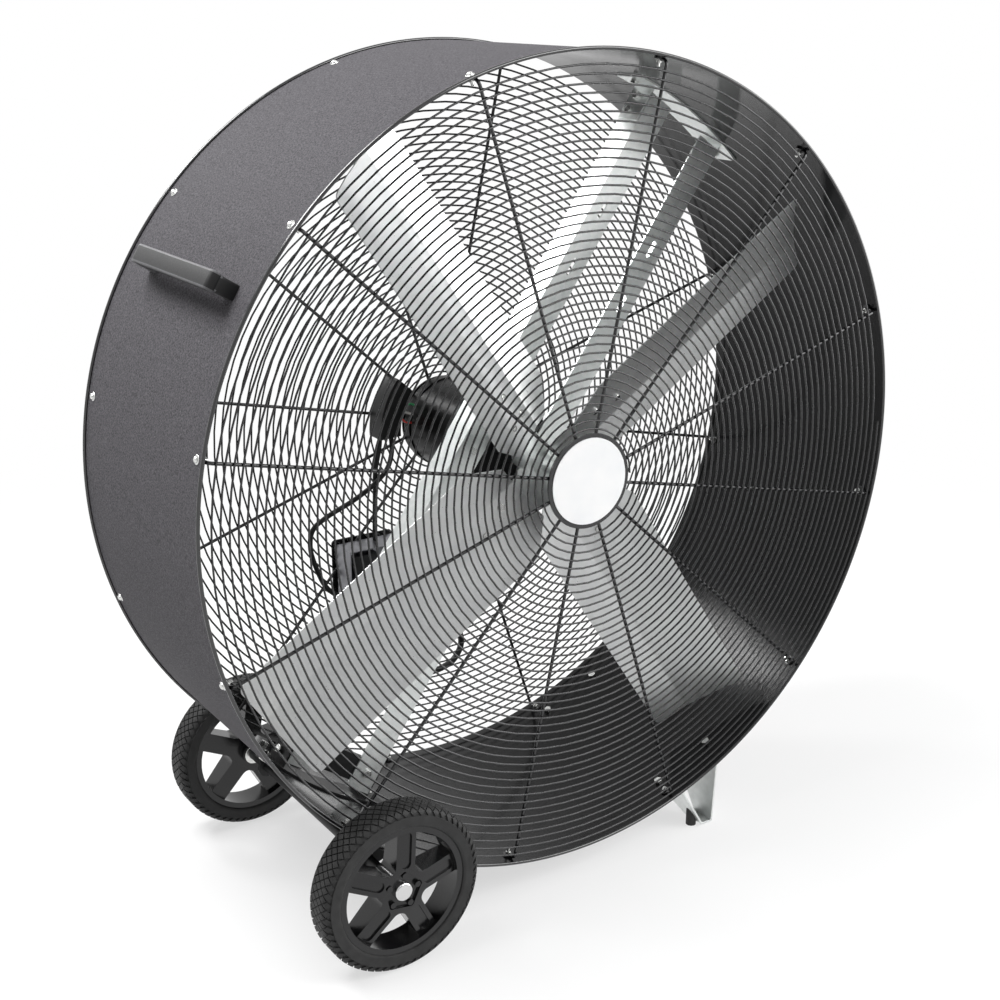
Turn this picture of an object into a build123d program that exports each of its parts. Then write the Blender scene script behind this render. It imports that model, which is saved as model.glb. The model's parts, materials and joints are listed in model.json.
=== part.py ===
"""Wheeled drum fan: a rolled steel drum with wire guards, four direct-driven blades, two wheels
and two feet. Millimetres and degrees. The origin is on the floor under the middle of the drum,
Y runs along the drum's axis (the air leaves at the front, towards -Y) and Z is up.
Angles round the drum are clockwise from the top, as seen from the front."""
import os
from math import atan2, cos, degrees, hypot, radians, sin, sqrt, tan

from build123d import *

os.makedirs("parts", exist_ok=True)

# Drum
DRUM_R = 610.0
DRUM_DEPTH = 420.0
BEAD_R = 2.75
SHELL_WALL = 1.5
SEAT_GAP = 0.3

# Wire guards
GUARD_SPOKES = 12
GUARD_FIRST_ANGLE = 12.0
RING_WIRE = 3.0
SPOKE_WIRE = 5.0
RING_PITCH = 12.38
RING_PLATE_GAP = 4.0
RING_RIM_GAP = 5.0
INNER_RING_INSET = 8.0
INNER_RING_WIDTH = 10.0
INNER_RING_T = 3.0
GUARD_PLATE_R = 72.0
GUARD_PLATE_T = 3.0
BADGE_MARGIN = 6.5
BADGE_T = 1.5
WIRE_BEND = 9.0
SCREW_INSET = 23.0
EYE_R = 8.0
EYE_T = 2.5
GUARD_SCREW_D = 5.0

# Blades
BLADE_COUNT = 4
BLADE_FIRST_ANGLE = 56.5
BLADE_TIP_GAP = 38.5
BLADE_ROOT = 62.0
BLADE_FULL = 112.0
BLADE_T = 2.0
BLADE_TIP_ROUND = 10.0
BLADE_INSET = 88.0
BLADE_CHORD = 149.0
BLADE_RISE = 74.0
BLADE_ROOT_WIDTH = 84.0
TRAILING_FLANGE = 36.5
LEADING_FLANGE = 56.5
CAMBER_REAR = 8.0
CAMBER_FRONT = 11.0

# Hub
SHAFT_D = 16.0
HUB_D = 44.0
HUB_AHEAD = 50.0
HUB_BEHIND = 82.0
ARM_T = 4.0
ARM_WIDTH = 52.0
ARM_REACH = 166.0
RIVET_D = 6.0
RIVET_HEAD_D = 12.0
RIVET_HEAD_T = 2.5
RIVET_SPREAD = 16.0
RIVET_INNER = 102.0
RIVET_OUTER = 148.0
HUB_BOLT_D = 20.0
HUB_BOLT_T = 8.0

# Struts
STRUT_ANGLE = 34.9
STRUT_OFFSET = 60.5
STRUT_WEB = 45.0
STRUT_FLANGE = 50.0
STRUT_T = 3.0
STRUT_END_GAP = 9.4
SLOT_PLACES = (290.0, 390.0)
SLOT_LENGTH = 30.0
SLOT_WIDTH = 7.0
SADDLE_T = 3.0
SADDLE_SPAN = 11.5
SADDLE_MARGIN = 7.0
TAB_LENGTH = 68.2
TAB_BOLT_SETS = (14.0, 40.0)
BOLT_D = 8.0
BOLT_HEAD_D = 14.0
BOLT_HEAD_T = 5.5
BRACE_WIDTH = 40.0
BRACE_FLANGE = 16.0

# Motor
BELL_R = 76.0
BELL_LIP = 2.0
MOTOR_WALL = 4.0
BELL_T = 20.0
MOTOR_GUARD_GAP = 4.0
AIR_GAP = 0.7
CORE_R = 44.0
CORE_LENGTH = 80.0
BEARING_R = 17.5
BEARING_T = 12.0
RUNNING_GAP = 0.05
MOTOR_BOLT_D = 6.0
MOTOR_BOLT_S = 34.0
MOTOR_BOLT_N = 57.0

# Wheels and axle
WHEEL_R = 127.0
WHEEL_WIDTH = 50.0
WHEEL_CLEAR = 15.0
AXLE_LEAN = 34.2869
AXLE_DROP = 29.049
AXLE_D = 16.0
AXLE_STUB = 6.5
HUB_OVERHANG = 2.0
TYRE_T = 28.0
RIM_RING = 9.0
RIM_WIDTH = 44.0
SHOULDER_R = 11.0
WHEEL_HUB_R = 18.0
STAR_R = 33.0
STAR_FILLET = 12.0
WHEEL_SPOKES = 5
WHEEL_SPOKE_ANGLE = 8.0
WHEEL_SPOKE_W = 31.0
SPOKE_BACK = 15.0
FACE_AT_RING = 15.0
FACE_AT_HUB = 22.5
GROOVE_W = 17.0
GROOVE_T = 3.0
HUB_RECESS = 4.0
RECESS_R = 32.0
RECESS_ROUND = 5.0
STUD_R = 4.5
STUD_REACH = 24.0
STUD_T = 5.0
WASHER_R = 16.0
WASHER_T = 2.5
CAP_R = 14.0
AXLE_LUG_INSET = 40.0
AXLE_LUG_T = 5.0
AXLE_LUG_R = 16.0
AXLE_LUG_BASE = 40.0
LUG_FLANGE_T = 3.0
LUG_FLANGE_Y = 36.0
LUG_FLANGE_SPAN = 5.5
LUG_BOLT_SPAN = 3.9

# Handle
HANDLE_ANGLE = 302.0
HANDLE_FRONT_INSET = 50.0
HANDLE_REAR_INSET = 90.0
HANDLE_REACH = 42.0
HANDLE_FRONT_ROUND = 8.0
HANDLE_REAR_ROUND = 34.0
HANDLE_GRIP = 20.0
HANDLE_WIDTH = 28.0
HANDLE_FOOT = 30.0
HANDLE_BOLT_D = 6.0
HANDLE_BOLT_INSET = 14.0
HANDLE_BOLT_DEPTH = 18.0

# Feet
FOOT_INSET = 9.0
FOOT_WIDTH = 66.0
FOOT_TIP_WIDTH = 40.0
FOOT_TIP_RISE = 34.0
FOOT_T = 3.0
FOOT_ANGLES = (161.235, 150.776)
FOOT_TOE_SET = 61.5
FOOT_TOE_FLAT = 21.0
FOOT_TOE_UP = 4.5
FOOT_FLANGE = 14.0
PAD_R = 8.5
PAD_SET = 9.5
PAD_INSET = 17.0

# Switch, wiring box, leads and cord hook
SWITCH_X = -152.0
SWITCH_UP = -234.0
SWITCH_SIZE = 102.0
SWITCH_DEPTH = 46.0
BOX_WALL = 1.6
COVER_LAP = 5.0
COVER_T = 2.0
COVER_SCREW_INSET = 11.0
COVER_SCREW_D = 4.0
KNOB_LEFT = 13.0
KNOB_ABOVE = 17.0
KNOB_R = 18.0
KNOB_T = 16.0
KNOB_SHAFT_D = 6.0
SWITCH_BODY = 44.0
SWITCH_BODY_T = 31.0
GLAND_R = 9.0
GLAND_LENGTH = 24.0
WIRING_STAND_OFF = 24.0
WIRING_SPAN = 37.0
WIRING_FROM = 267.0
WIRING_TO = 311.0
WIRING_DEPTH = 38.0
WIRING_WALL = 3.0
CABLE_INSET = 18.7
CABLE_D = 8.0
CABLE_CROSSING = 10.0
LEAD_D = 3.5
HOOK_D = 11.0

# Derived
SHELL_IN = DRUM_R - 2 * BEAD_R
SHELL_OUT = SHELL_IN + SHELL_WALL
HALF_DEPTH = DRUM_DEPTH / 2
RING_Y = HALF_DEPTH - RING_WIRE / 2
SPOKE_Y = RING_Y - RING_WIRE / 2 - SPOKE_WIRE / 2
SPOKE_FACE_Y = SPOKE_Y - SPOKE_WIRE / 2
SCREW_Y = HALF_DEPTH - SCREW_INSET
GUARD_INNER_RING = GUARD_PLATE_R - INNER_RING_INSET
RING_START = GUARD_PLATE_R + RING_PLATE_GAP
RING_TURNS = int((SHELL_IN - RING_RIM_GAP - RING_START) / RING_PITCH)
EYE_TOP = SHELL_IN - SEAT_GAP / 2
LEG_R = EYE_TOP - 0.2 - SPOKE_WIRE / 2
SPOKE_ANGLES = [GUARD_FIRST_ANGLE + k * 360 / GUARD_SPOKES for k in range(GUARD_SPOKES)]
BLADE_ANGLES = [BLADE_FIRST_ANGLE + k * 360 / BLADE_COUNT for k in range(BLADE_COUNT)]
BLADE_TIP = SHELL_IN - BLADE_TIP_GAP
BLADE_Y = BLADE_INSET - HALF_DEPTH
HUB_FRONT_Y = BLADE_Y - HUB_AHEAD
HUB_REAR_Y = BLADE_Y + HUB_BEHIND
AXLE_REACH = DRUM_R + AXLE_DROP
AXLE_ANGLE = 180 + AXLE_LEAN
WHEEL_SIDE = AXLE_REACH * sin(radians(AXLE_LEAN))
AXIS_UP = WHEEL_R + AXLE_REACH * cos(radians(AXLE_LEAN))
STRUT_EDGE = STRUT_OFFSET + STRUT_WEB / 2
SADDLE_OUT = SHELL_IN - SEAT_GAP
SADDLE_IN = SADDLE_OUT - SADDLE_T
STRUT_HALF = sqrt(SADDLE_IN ** 2 - STRUT_EDGE ** 2) - STRUT_END_GAP
TAB_START = SADDLE_OUT - TAB_LENGTH
BRACE_PLACE = TAB_START + BRACE_WIDTH / 2
FLANGE_MID_Y = STRUT_FLANGE * 0.58
WHEEL_MID_Y = HALF_DEPTH + WHEEL_CLEAR + WHEEL_WIDTH / 2
HUB_BACK = WHEEL_WIDTH / 2 + HUB_OVERHANG
HUB_FACE = FACE_AT_HUB - HUB_RECESS
AXLE_END_Y = WHEEL_MID_Y + HUB_FACE + AXLE_STUB
AXLE_LUG_Y = HALF_DEPTH - AXLE_LUG_INSET
RIM_R = WHEEL_R - TYRE_T
MOTOR_R = BELL_R - BELL_LIP
MOTOR_REAR_Y = SPOKE_FACE_Y - MOTOR_GUARD_GAP
HANDLE_FRONT_Y = HANDLE_FRONT_INSET - HALF_DEPTH
HANDLE_REAR_Y = HALF_DEPTH - HANDLE_REAR_INSET
FOOT_OUT_Y = HALF_DEPTH - FOOT_INSET
SEAT_R = SHELL_OUT + SEAT_GAP
FAN_AXIS = Axis((0, 0, AXIS_UP), (0, 1, 0))
AXLE_AXIS = Axis((-WHEEL_SIDE, 0, WHEEL_R), (0, 1, 0))


def front_plane(y):
    """The drum seen from the front: sketch x is X and sketch y is height over the axis."""
    return Plane(origin=(0, y, AXIS_UP), x_dir=(1, 0, 0), z_dir=(0, -1, 0))


def polar_plane(angle, y):
    """A cross-section of the drum: sketch x is tangential and sketch y is radial at the angle."""
    turn = radians(angle)
    return Plane(origin=(0, y, AXIS_UP), x_dir=(cos(turn), 0, -sin(turn)), z_dir=(0, -1, 0))


def lengthwise_plane(angle):
    """A plane through the axis: sketch x is Y and sketch y is radial at the angle."""
    turn = radians(angle)
    return Plane(origin=(0, 0, AXIS_UP), x_dir=(0, 1, 0), z_dir=(cos(turn), 0, -sin(turn)))


def radial_plane(angle, reach, y):
    """A plane facing outwards at a reach from the axis: sketch x is tangential, sketch y is Y."""
    turn = radians(angle)
    origin = (reach * sin(turn), y, AXIS_UP + reach * cos(turn))
    return Plane(origin=origin, x_dir=(cos(turn), 0, -sin(turn)), z_dir=(sin(turn), 0, cos(turn)))


def around(reach, angle):
    """The sketch point on a front plane at a reach and an angle."""
    return (reach * sin(radians(angle)), reach * cos(radians(angle)))


def sector(inner, outer, start, end):
    """Adds a ring sector to the sketch on a front plane."""
    middle = (start + end) / 2
    with BuildLine() as outline:
        Line(around(inner, start), around(outer, start))
        ThreePointArc(around(outer, start), around(outer, middle), around(outer, end))
        Line(around(outer, end), around(inner, end))
        ThreePointArc(around(inner, end), around(inner, middle), around(inner, start))
    make_face(outline.edges())


def strip(points, thickness):
    """Adds a bent sheet's section to the sketch: the centre line thickened with mitred corners."""
    normals = []
    for (x0, y0), (x1, y1) in zip(points, points[1:]):
        run = hypot(x1 - x0, y1 - y0)
        normals.append(((y0 - y1) / run, (x1 - x0) / run))
    left, right = [], []
    for k, (x, y) in enumerate(points):
        nx0, ny0 = normals[max(k - 1, 0)]
        nx1, ny1 = normals[min(k, len(normals) - 1)]
        scale = thickness / 2 / (1 + nx0 * nx1 + ny0 * ny1)
        left.append((x + (nx0 + nx1) * scale, y + (ny0 + ny1) * scale))
        right.append((x - (nx0 + nx1) * scale, y - (ny0 + ny1) * scale))
    with BuildLine() as outline:
        Polyline(*left, *reversed(right), close=True)
    make_face(outline.edges())


def rod(plane, diameter, length, mode=Mode.ADD):
    """Adds or cuts a round rod that starts on the plane."""
    with BuildSketch(plane) as section:
        Circle(diameter / 2)
    extrude(section.sketch, amount=length, mode=mode)


def ring_gap(x, up):
    """The place nearest to the point, on the same ray, midway between two turns of guard wire."""
    reach = hypot(x, up)
    share = (degrees(atan2(up, x)) % 360) / 360
    turn = round((reach - RING_START) / RING_PITCH - share - 0.5)
    clear = RING_START + RING_PITCH * (turn + 0.5 + share)
    return (x * clear / reach, up * clear / reach)


def lead_path(points):
    """A lead's path: straight runs joined by arcs as large as the runs allow."""
    corners = [Vector(*point) for point in points]
    radii = []
    for before, here, after in zip(corners, corners[1:], corners[2:]):
        half_turn = (here - before).get_angle(after - here) / 2
        shorter = min((here - before).length, (after - here).length)
        radii.append(0.45 * shorter / tan(radians(half_turn)))
    print("lead arc radii", [round(r, 1) for r in radii])
    return FilletPolyline(*corners, radius=radii)


def lead_tube(points, diameter):
    """Adds a lead along its path."""
    with BuildLine() as path:
        lead_path(points)
    with BuildSketch(Plane(origin=path.line @ 0, z_dir=path.line % 0)) as section:
        Circle(diameter / 2)
    sweep(section.sketch, path=path.line)


def hex_bolt(plane, diameter, grip, head, head_t):
    """Adds a bolt whose head sits on the plane and whose shank and nut go behind it."""
    for seat, rise in ((plane, head_t), (plane.offset(-grip), -head_t)):
        with BuildSketch(seat) as section:
            RegularPolygon(head / 2, 6)
        extrude(section.sketch, amount=rise)
    rod(plane, diameter, -(grip + head_t))


# The drum: a rolled sheet with a bead at each rim and a hole for every fastener
SHELL_HOLES = [(angle, side * SCREW_Y, GUARD_SCREW_D) for angle in SPOKE_ANGLES for side in (-1, 1)]
SADDLE_BOLT_SPAN = SADDLE_SPAN - 1.5
SADDLE_BOLTS = [
    (STRUT_ANGLE + end + side * SADDLE_BOLT_SPAN, FLANGE_MID_Y) for end in (0, 180) for side in (-1, 1)
]
SHELL_HOLES += [(angle, y, BOLT_D) for angle, y in SADDLE_BOLTS]
LUG_BOLT_Y = AXLE_LUG_Y - AXLE_LUG_T / 2 - LUG_FLANGE_Y / 2
LUG_BOLTS = [
    (AXLE_ANGLE + side * LUG_BOLT_SPAN, end * LUG_BOLT_Y) for side in (-1, 1) for end in (-1, 1)
]
SHELL_HOLES += [(angle, y, BOLT_D) for angle, y in LUG_BOLTS]
HANDLE_BOLTS_Y = (HANDLE_FRONT_Y + HANDLE_BOLT_INSET, HANDLE_REAR_Y - HANDLE_BOLT_INSET)
SHELL_HOLES += [(HANDLE_ANGLE, y, HANDLE_BOLT_D) for y in HANDLE_BOLTS_Y]
FOOT_MID_Y = FOOT_OUT_Y - FOOT_WIDTH / 2
FOOT_SCREW_ANGLE = min(SPOKE_ANGLES, key=lambda angle: abs(angle - FOOT_ANGLES[0]))
FOOT_BOLTS = [(angle, end * (FOOT_MID_Y - 8)) for angle in FOOT_ANGLES for end in (-1, 1)]
SHELL_HOLES += [(angle, y, BOLT_D) for angle, y in FOOT_BOLTS]

with BuildPart() as drum_shell:
    with BuildSketch(lengthwise_plane(90)):
        with Locations((0, (SHELL_IN + SHELL_OUT) / 2)):
            Rectangle(DRUM_DEPTH - 2 * BEAD_R, SHELL_WALL)
        for side in (-1, 1):
            with Locations((side * (HALF_DEPTH - BEAD_R), DRUM_R - BEAD_R)):
                Circle(BEAD_R)
    revolve(axis=FAN_AXIS)
    for hole_angle, hole_y, screw_d in SHELL_HOLES:
        rod(radial_plane(hole_angle, SHELL_IN - 10, hole_y), screw_d + 0.6, 20, Mode.SUBTRACT)
drum_shell.part.label = "drum_shell"
export_step(drum_shell.part, "parts/drum_shell.step")


# The guards: a spiral of eight-sided wire, wound in half turns, in front of round spokes that are
# bent back along the drum and end in flat eyes
for name, side in (("front", -1), ("rear", 1)):
    with BuildPart() as guard_spiral:
        with BuildLine(front_plane(side * RING_Y)) as winding:
            for half in range(2 * RING_TURNS):
                shift = RING_PITCH / 4 * (-1 if half % 2 == 0 else 1)
                CenterArc((shift, 0), RING_START + RING_PITCH * (half + 0.5) / 2, half % 2 * 180, 180)
        spiral = winding.wires()[0]
        with BuildSketch(Plane(origin=spiral @ 0, x_dir=(1, 0, 0), z_dir=spiral % 0)):
            RegularPolygon(RING_WIRE / 2, 8, major_radius=False, rotation=22.5)
        sweep(path=spiral)
    guard_spiral.part.label = f"{name}_guard_spiral"
    export_step(guard_spiral.part, f"parts/{name}_guard_spiral.step")

    with BuildPart() as guard_frame:
        with BuildSketch(lengthwise_plane(90)):
            with Locations((side * (SPOKE_Y - INNER_RING_T / 5), GUARD_INNER_RING)):
                Rectangle(INNER_RING_T, INNER_RING_WIDTH)
        revolve(axis=FAN_AXIS)
        for angle in SPOKE_ANGLES:
            with BuildLine(lengthwise_plane(angle)) as spoke:
                FilletPolyline(
                    (side * SPOKE_Y, GUARD_INNER_RING),
                    (side * SPOKE_Y, LEG_R),
                    (side * (SCREW_Y + 0.7 * EYE_R), LEG_R),
                    radius=WIRE_BEND,
                )
            with BuildSketch(Plane(origin=spoke.line @ 0, z_dir=spoke.line % 0)):
                Circle(SPOKE_WIRE / 2)
            sweep(path=spoke.line)
            eye = radial_plane(angle, EYE_TOP, side * SCREW_Y)
            rod(eye, 2 * EYE_R, -EYE_T)
            rod(eye, GUARD_SCREW_D + 0.4, -EYE_T, Mode.SUBTRACT)
    guard_frame.part.label = f"{name}_guard_frame"
    export_step(guard_frame.part, f"parts/{name}_guard_frame.step")

    with BuildPart() as guard_plate:
        with BuildSketch(front_plane(side * (SPOKE_Y + SPOKE_WIRE / 2))):
            Circle(GUARD_PLATE_R)
        extrude(amount=-side * GUARD_PLATE_T)
        fillet(guard_plate.faces().sort_by(Axis.Y)[side // 2 + side // -2].edges(), GUARD_PLATE_T / 3)
    guard_plate.part.label = f"{name}_guard_plate"
    export_step(guard_plate.part, f"parts/{name}_guard_plate.step")

with BuildPart() as front_badge:
    with BuildSketch(front_plane(-(SPOKE_Y + SPOKE_WIRE / 2 + GUARD_PLATE_T))):
        Circle(GUARD_PLATE_R - BADGE_MARGIN)
    extrude(amount=BADGE_T)
front_badge.part.label = "front_badge"
export_step(front_badge.part, "parts/front_badge.step")

with BuildPart() as guard_screws:
    for angle in SPOKE_ANGLES:
        for side in (-1, 1):
            seat = SEAT_R + FOOT_T + SEAT_GAP / 2 if angle == FOOT_SCREW_ANGLE else SHELL_OUT
            head = radial_plane(angle, seat, side * SCREW_Y)
            rod(head, 2 * GUARD_SCREW_D, 0.6 * GUARD_SCREW_D)
            rod(head, GUARD_SCREW_D, SHELL_OUT - 14 - seat)
guard_screws.part.label = "guard_screws"
export_step(guard_screws.part, "parts/guard_screws.step")

with BuildPart() as guard_nuts:
    for angle in SPOKE_ANGLES:
        for side in (-1, 1):
            nut = radial_plane(angle, EYE_TOP - EYE_T, side * SCREW_Y)
            with BuildSketch(nut):
                RegularPolygon(0.9 * GUARD_SCREW_D, 6)
                Circle(GUARD_SCREW_D / 2, mode=Mode.SUBTRACT)
            extrude(amount=-0.8 * GUARD_SCREW_D)
guard_nuts.part.label = "guard_nuts"
export_step(guard_nuts.part, "parts/guard_nuts.step")


# The struts: two steel angles across the drum with saddles at both ends, and a brace between them
STRUT_TURN = radians(STRUT_ANGLE)
STRUT_DIR = (sin(STRUT_TURN), 0, cos(STRUT_TURN))
STRUT_NORMAL = (cos(STRUT_TURN), 0, -sin(STRUT_TURN))
ACROSS_STRUTS = Plane(origin=(0, 0, AXIS_UP), x_dir=STRUT_NORMAL, z_dir=STRUT_DIR)
WEB_FACE = Plane(origin=(0, 0, AXIS_UP), x_dir=STRUT_DIR, z_dir=(0, 1, 0))
SIDE_PLANE = Plane(origin=(0, 0, AXIS_UP), x_dir=STRUT_DIR, z_dir=STRUT_NORMAL)
MOTOR_BOLTS = [(s * MOTOR_BOLT_S, n * MOTOR_BOLT_N) for s in (-1, 1) for n in (-1, 1)]
TAB_BOLT_PLACES = [
    (end * (TAB_START + inset), FLANGE_MID_Y) for end in (-1, 1) for inset in TAB_BOLT_SETS
]

for name, side in (("left", -1), ("right", 1)):
    with BuildPart() as strut:
        with BuildSketch(ACROSS_STRUTS):
            with Locations((side * STRUT_OFFSET, STRUT_T / 2)):
                Rectangle(STRUT_WEB, STRUT_T)
            with Locations((side * (STRUT_EDGE - STRUT_T / 2), STRUT_FLANGE / 2)):
                Rectangle(STRUT_T, STRUT_FLANGE)
        extrude(amount=STRUT_HALF, both=True)
        with BuildSketch(WEB_FACE):
            for place in SLOT_PLACES:
                with Locations((place, side * STRUT_OFFSET), (-place, side * STRUT_OFFSET)):
                    SlotOverall(SLOT_LENGTH, SLOT_WIDTH)
            with Locations(*[spot for spot in MOTOR_BOLTS if spot[1] * side > 0]):
                Circle(MOTOR_BOLT_D / 2 + 0.2)
            with Locations((-BRACE_PLACE, side * STRUT_OFFSET)):
                Circle(BOLT_D / 2 + 0.2)
        extrude(amount=STRUT_T, mode=Mode.SUBTRACT)
        with BuildSketch(SIDE_PLANE.offset(side * STRUT_EDGE)):
            with Locations(*[(s, -y) for s, y in TAB_BOLT_PLACES]):
                Circle(BOLT_D / 2 + 0.2)
        extrude(amount=-side * STRUT_T, mode=Mode.SUBTRACT)
    strut.part.label = f"{name}_strut"
    export_step(strut.part, f"parts/{name}_strut.step")

for name, end in (("upper", 1), ("lower", -1)):
    with BuildPart() as saddle:
        with BuildSketch(SIDE_PLANE):
            with Locations((end * (TAB_START + SADDLE_OUT) / 2, -STRUT_FLANGE / 2)):
                Rectangle(SADDLE_OUT - TAB_START, STRUT_FLANGE - SADDLE_T)
            with Locations(*[(s, -y) for s, y in TAB_BOLT_PLACES]):
                Circle(BOLT_D / 2 + 0.2, mode=Mode.SUBTRACT)
        extrude(amount=STRUT_EDGE + SADDLE_T, both=True)
        with BuildSketch(SIDE_PLANE):
            with Locations((end * SADDLE_OUT / 2, 0)):
                Rectangle(2 * SADDLE_OUT, 4 * STRUT_FLANGE)
        extrude(amount=STRUT_EDGE, both=True, mode=Mode.SUBTRACT)
        start = STRUT_ANGLE - SADDLE_SPAN + (0 if end > 0 else 180)
        with BuildSketch(front_plane(STRUT_FLANGE + SADDLE_MARGIN)):
            sector(SADDLE_IN, SADDLE_OUT, start, start + 2 * SADDLE_SPAN)
        extrude(amount=STRUT_FLANGE + 2 * SADDLE_MARGIN)
        with BuildSketch(front_plane(2 * STRUT_FLANGE)):
            Circle(SADDLE_OUT)
        extrude(amount=4 * STRUT_FLANGE, mode=Mode.INTERSECT)
        for hole_angle, hole_y in SADDLE_BOLTS:
            rod(radial_plane(hole_angle, SADDLE_IN - 10, hole_y), BOLT_D + 0.6, 20, Mode.SUBTRACT)
    saddle.part.label = f"{name}_strut_saddle"
    export_step(saddle.part, f"parts/{name}_strut_saddle.step")

with BuildPart() as lower_brace:
    with BuildSketch(SIDE_PLANE):
        with Locations((-BRACE_PLACE, -(STRUT_T + STRUT_T / 2))):
            Rectangle(BRACE_WIDTH, STRUT_T)
        for edge in (-1, 1):
            edge_at = -BRACE_PLACE + edge * (BRACE_WIDTH - STRUT_T) / 2
            with Locations((edge_at, -(STRUT_T + BRACE_FLANGE / 2))):
                Rectangle(STRUT_T, BRACE_FLANGE)
    extrude(amount=STRUT_EDGE - STRUT_T, both=True)
    with BuildSketch(WEB_FACE):
        with Locations((-BRACE_PLACE, STRUT_OFFSET), (-BRACE_PLACE, -STRUT_OFFSET)):
            Circle(BOLT_D / 2 + 0.2)
    extrude(amount=2 * STRUT_T, mode=Mode.SUBTRACT)
lower_brace.part.label = "lower_brace"
export_step(lower_brace.part, "parts/lower_brace.step")

with BuildPart() as strut_bolts:
    for s, y in TAB_BOLT_PLACES:
        for side in (-1, 1):
            seat = SIDE_PLANE.offset(side * (STRUT_EDGE + SADDLE_T))
            spot = Plane(origin=seat.from_local_coords((s, -y, 0)), x_dir=(0, 1, 0),
                         z_dir=tuple(side * v for v in STRUT_NORMAL))
            hex_bolt(spot, BOLT_D, SADDLE_T + STRUT_T, BOLT_HEAD_D, BOLT_HEAD_T)
    for side in (-1, 1):
        seat = WEB_FACE.from_local_coords((-BRACE_PLACE, side * STRUT_OFFSET, 0))
        hex_bolt(Plane(origin=seat, z_dir=(0, -1, 0)), BOLT_D, 2 * STRUT_T, BOLT_HEAD_D, BOLT_HEAD_T)
    for angle, y in SADDLE_BOLTS:
        hex_bolt(radial_plane(angle, SHELL_OUT, y), BOLT_D, SHELL_OUT - SADDLE_IN + 0.2, BOLT_HEAD_D,
                 BOLT_HEAD_T)
strut_bolts.part.label = "strut_bolts"
export_step(strut_bolts.part, "parts/strut_bolts.step")


# The motor: enclosed, on the fan's axis, bolted by its front bell to the back of the struts
FRONT_BELL_Y = STRUT_T
FRAME_FRONT_Y = FRONT_BELL_Y + BELL_T
FRAME_REAR_Y = MOTOR_REAR_Y - BELL_T
CORE_MID_Y = (FRAME_FRONT_Y + FRAME_REAR_Y) / 2

with BuildPart() as motor_frame:
    with BuildSketch(front_plane(FRAME_REAR_Y)):
        Circle(MOTOR_R)
        Circle(MOTOR_R - MOTOR_WALL, mode=Mode.SUBTRACT)
    extrude(amount=FRAME_REAR_Y - FRAME_FRONT_Y)
motor_frame.part.label = "motor_frame"
export_step(motor_frame.part, "parts/motor_frame.step")

with BuildPart() as motor_front_bell:
    with BuildSketch(front_plane(FRAME_FRONT_Y)):
        Circle(BELL_R)
    extrude(amount=BELL_T)
    fillet(motor_front_bell.edges().sort_by(Axis.Y)[0], 4)
    with BuildSketch(front_plane(FRAME_FRONT_Y)):
        Circle(BEARING_R)
    extrude(amount=BEARING_T, mode=Mode.SUBTRACT)
    with BuildSketch(front_plane(FRAME_FRONT_Y)):
        Circle(SHAFT_D / 2 + 1)
    extrude(amount=BELL_T, mode=Mode.SUBTRACT)
    for s, n in MOTOR_BOLTS:
        seat = WEB_FACE.from_local_coords((s, n, 0))
        rod(Plane(origin=seat, z_dir=(0, 1, 0)), MOTOR_BOLT_D + 0.4, BELL_T - 2, Mode.SUBTRACT)
motor_front_bell.part.label = "motor_front_bell"
export_step(motor_front_bell.part, "parts/motor_front_bell.step")

with BuildPart() as motor_rear_bell:
    with BuildSketch(front_plane(MOTOR_REAR_Y)):
        Circle(BELL_R)
    extrude(amount=BELL_T)
    fillet(motor_rear_bell.edges().sort_by(Axis.Y)[-1], 6)
    with BuildSketch(front_plane(FRAME_REAR_Y)):
        Circle(BEARING_R)
    extrude(amount=-BEARING_T, mode=Mode.SUBTRACT)
motor_rear_bell.part.label = "motor_rear_bell"
export_step(motor_rear_bell.part, "parts/motor_rear_bell.step")

with BuildPart() as motor_stator:
    with BuildSketch(front_plane(CORE_MID_Y)):
        Circle(MOTOR_R - MOTOR_WALL)
        Circle(CORE_R + AIR_GAP, mode=Mode.SUBTRACT)
    extrude(amount=CORE_LENGTH / 2, both=True)
motor_stator.part.label = "motor_stator"
export_step(motor_stator.part, "parts/motor_stator.step")

with BuildPart() as motor_bearings:
    for start, way in ((FRAME_FRONT_Y, 1), (FRAME_REAR_Y, -1)):
        with BuildSketch(front_plane(start)):
            Circle(BEARING_R)
            Circle(SHAFT_D / 2 + RUNNING_GAP, mode=Mode.SUBTRACT)
        extrude(amount=way * BEARING_T)
motor_bearings.part.label = "motor_bearings"
export_step(motor_bearings.part, "parts/motor_bearings.step")

with BuildPart() as motor_bolts:
    for s, n in MOTOR_BOLTS:
        seat = Plane(origin=WEB_FACE.from_local_coords((s, n, 0)), z_dir=(0, -1, 0))
        with BuildSketch(seat):
            RegularPolygon(MOTOR_BOLT_D, 6)
        extrude(amount=0.7 * MOTOR_BOLT_D)
        rod(seat, MOTOR_BOLT_D, -(BELL_T - 4))
motor_bolts.part.label = "motor_bolts"
export_step(motor_bolts.part, "parts/motor_bolts.step")


# The rotor: shaft, core, hub with four arms, and four bent blades riveted to the arms
with BuildPart() as motor_shaft:
    with BuildSketch(front_plane(FRAME_REAR_Y + BEARING_T - 1)):
        Circle(SHAFT_D / 2)
    extrude(amount=FRAME_REAR_Y + BEARING_T - 1 - HUB_FRONT_Y)
motor_shaft.part.label = "motor_shaft"
export_step(motor_shaft.part, "parts/motor_shaft.step")

with BuildPart() as rotor_core:
    with BuildSketch(front_plane(CORE_MID_Y)):
        Circle(CORE_R)
        Circle(SHAFT_D / 2, mode=Mode.SUBTRACT)
    extrude(amount=CORE_LENGTH / 2, both=True)
rotor_core.part.label = "rotor_core"
export_step(rotor_core.part, "parts/rotor_core.step")

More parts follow.
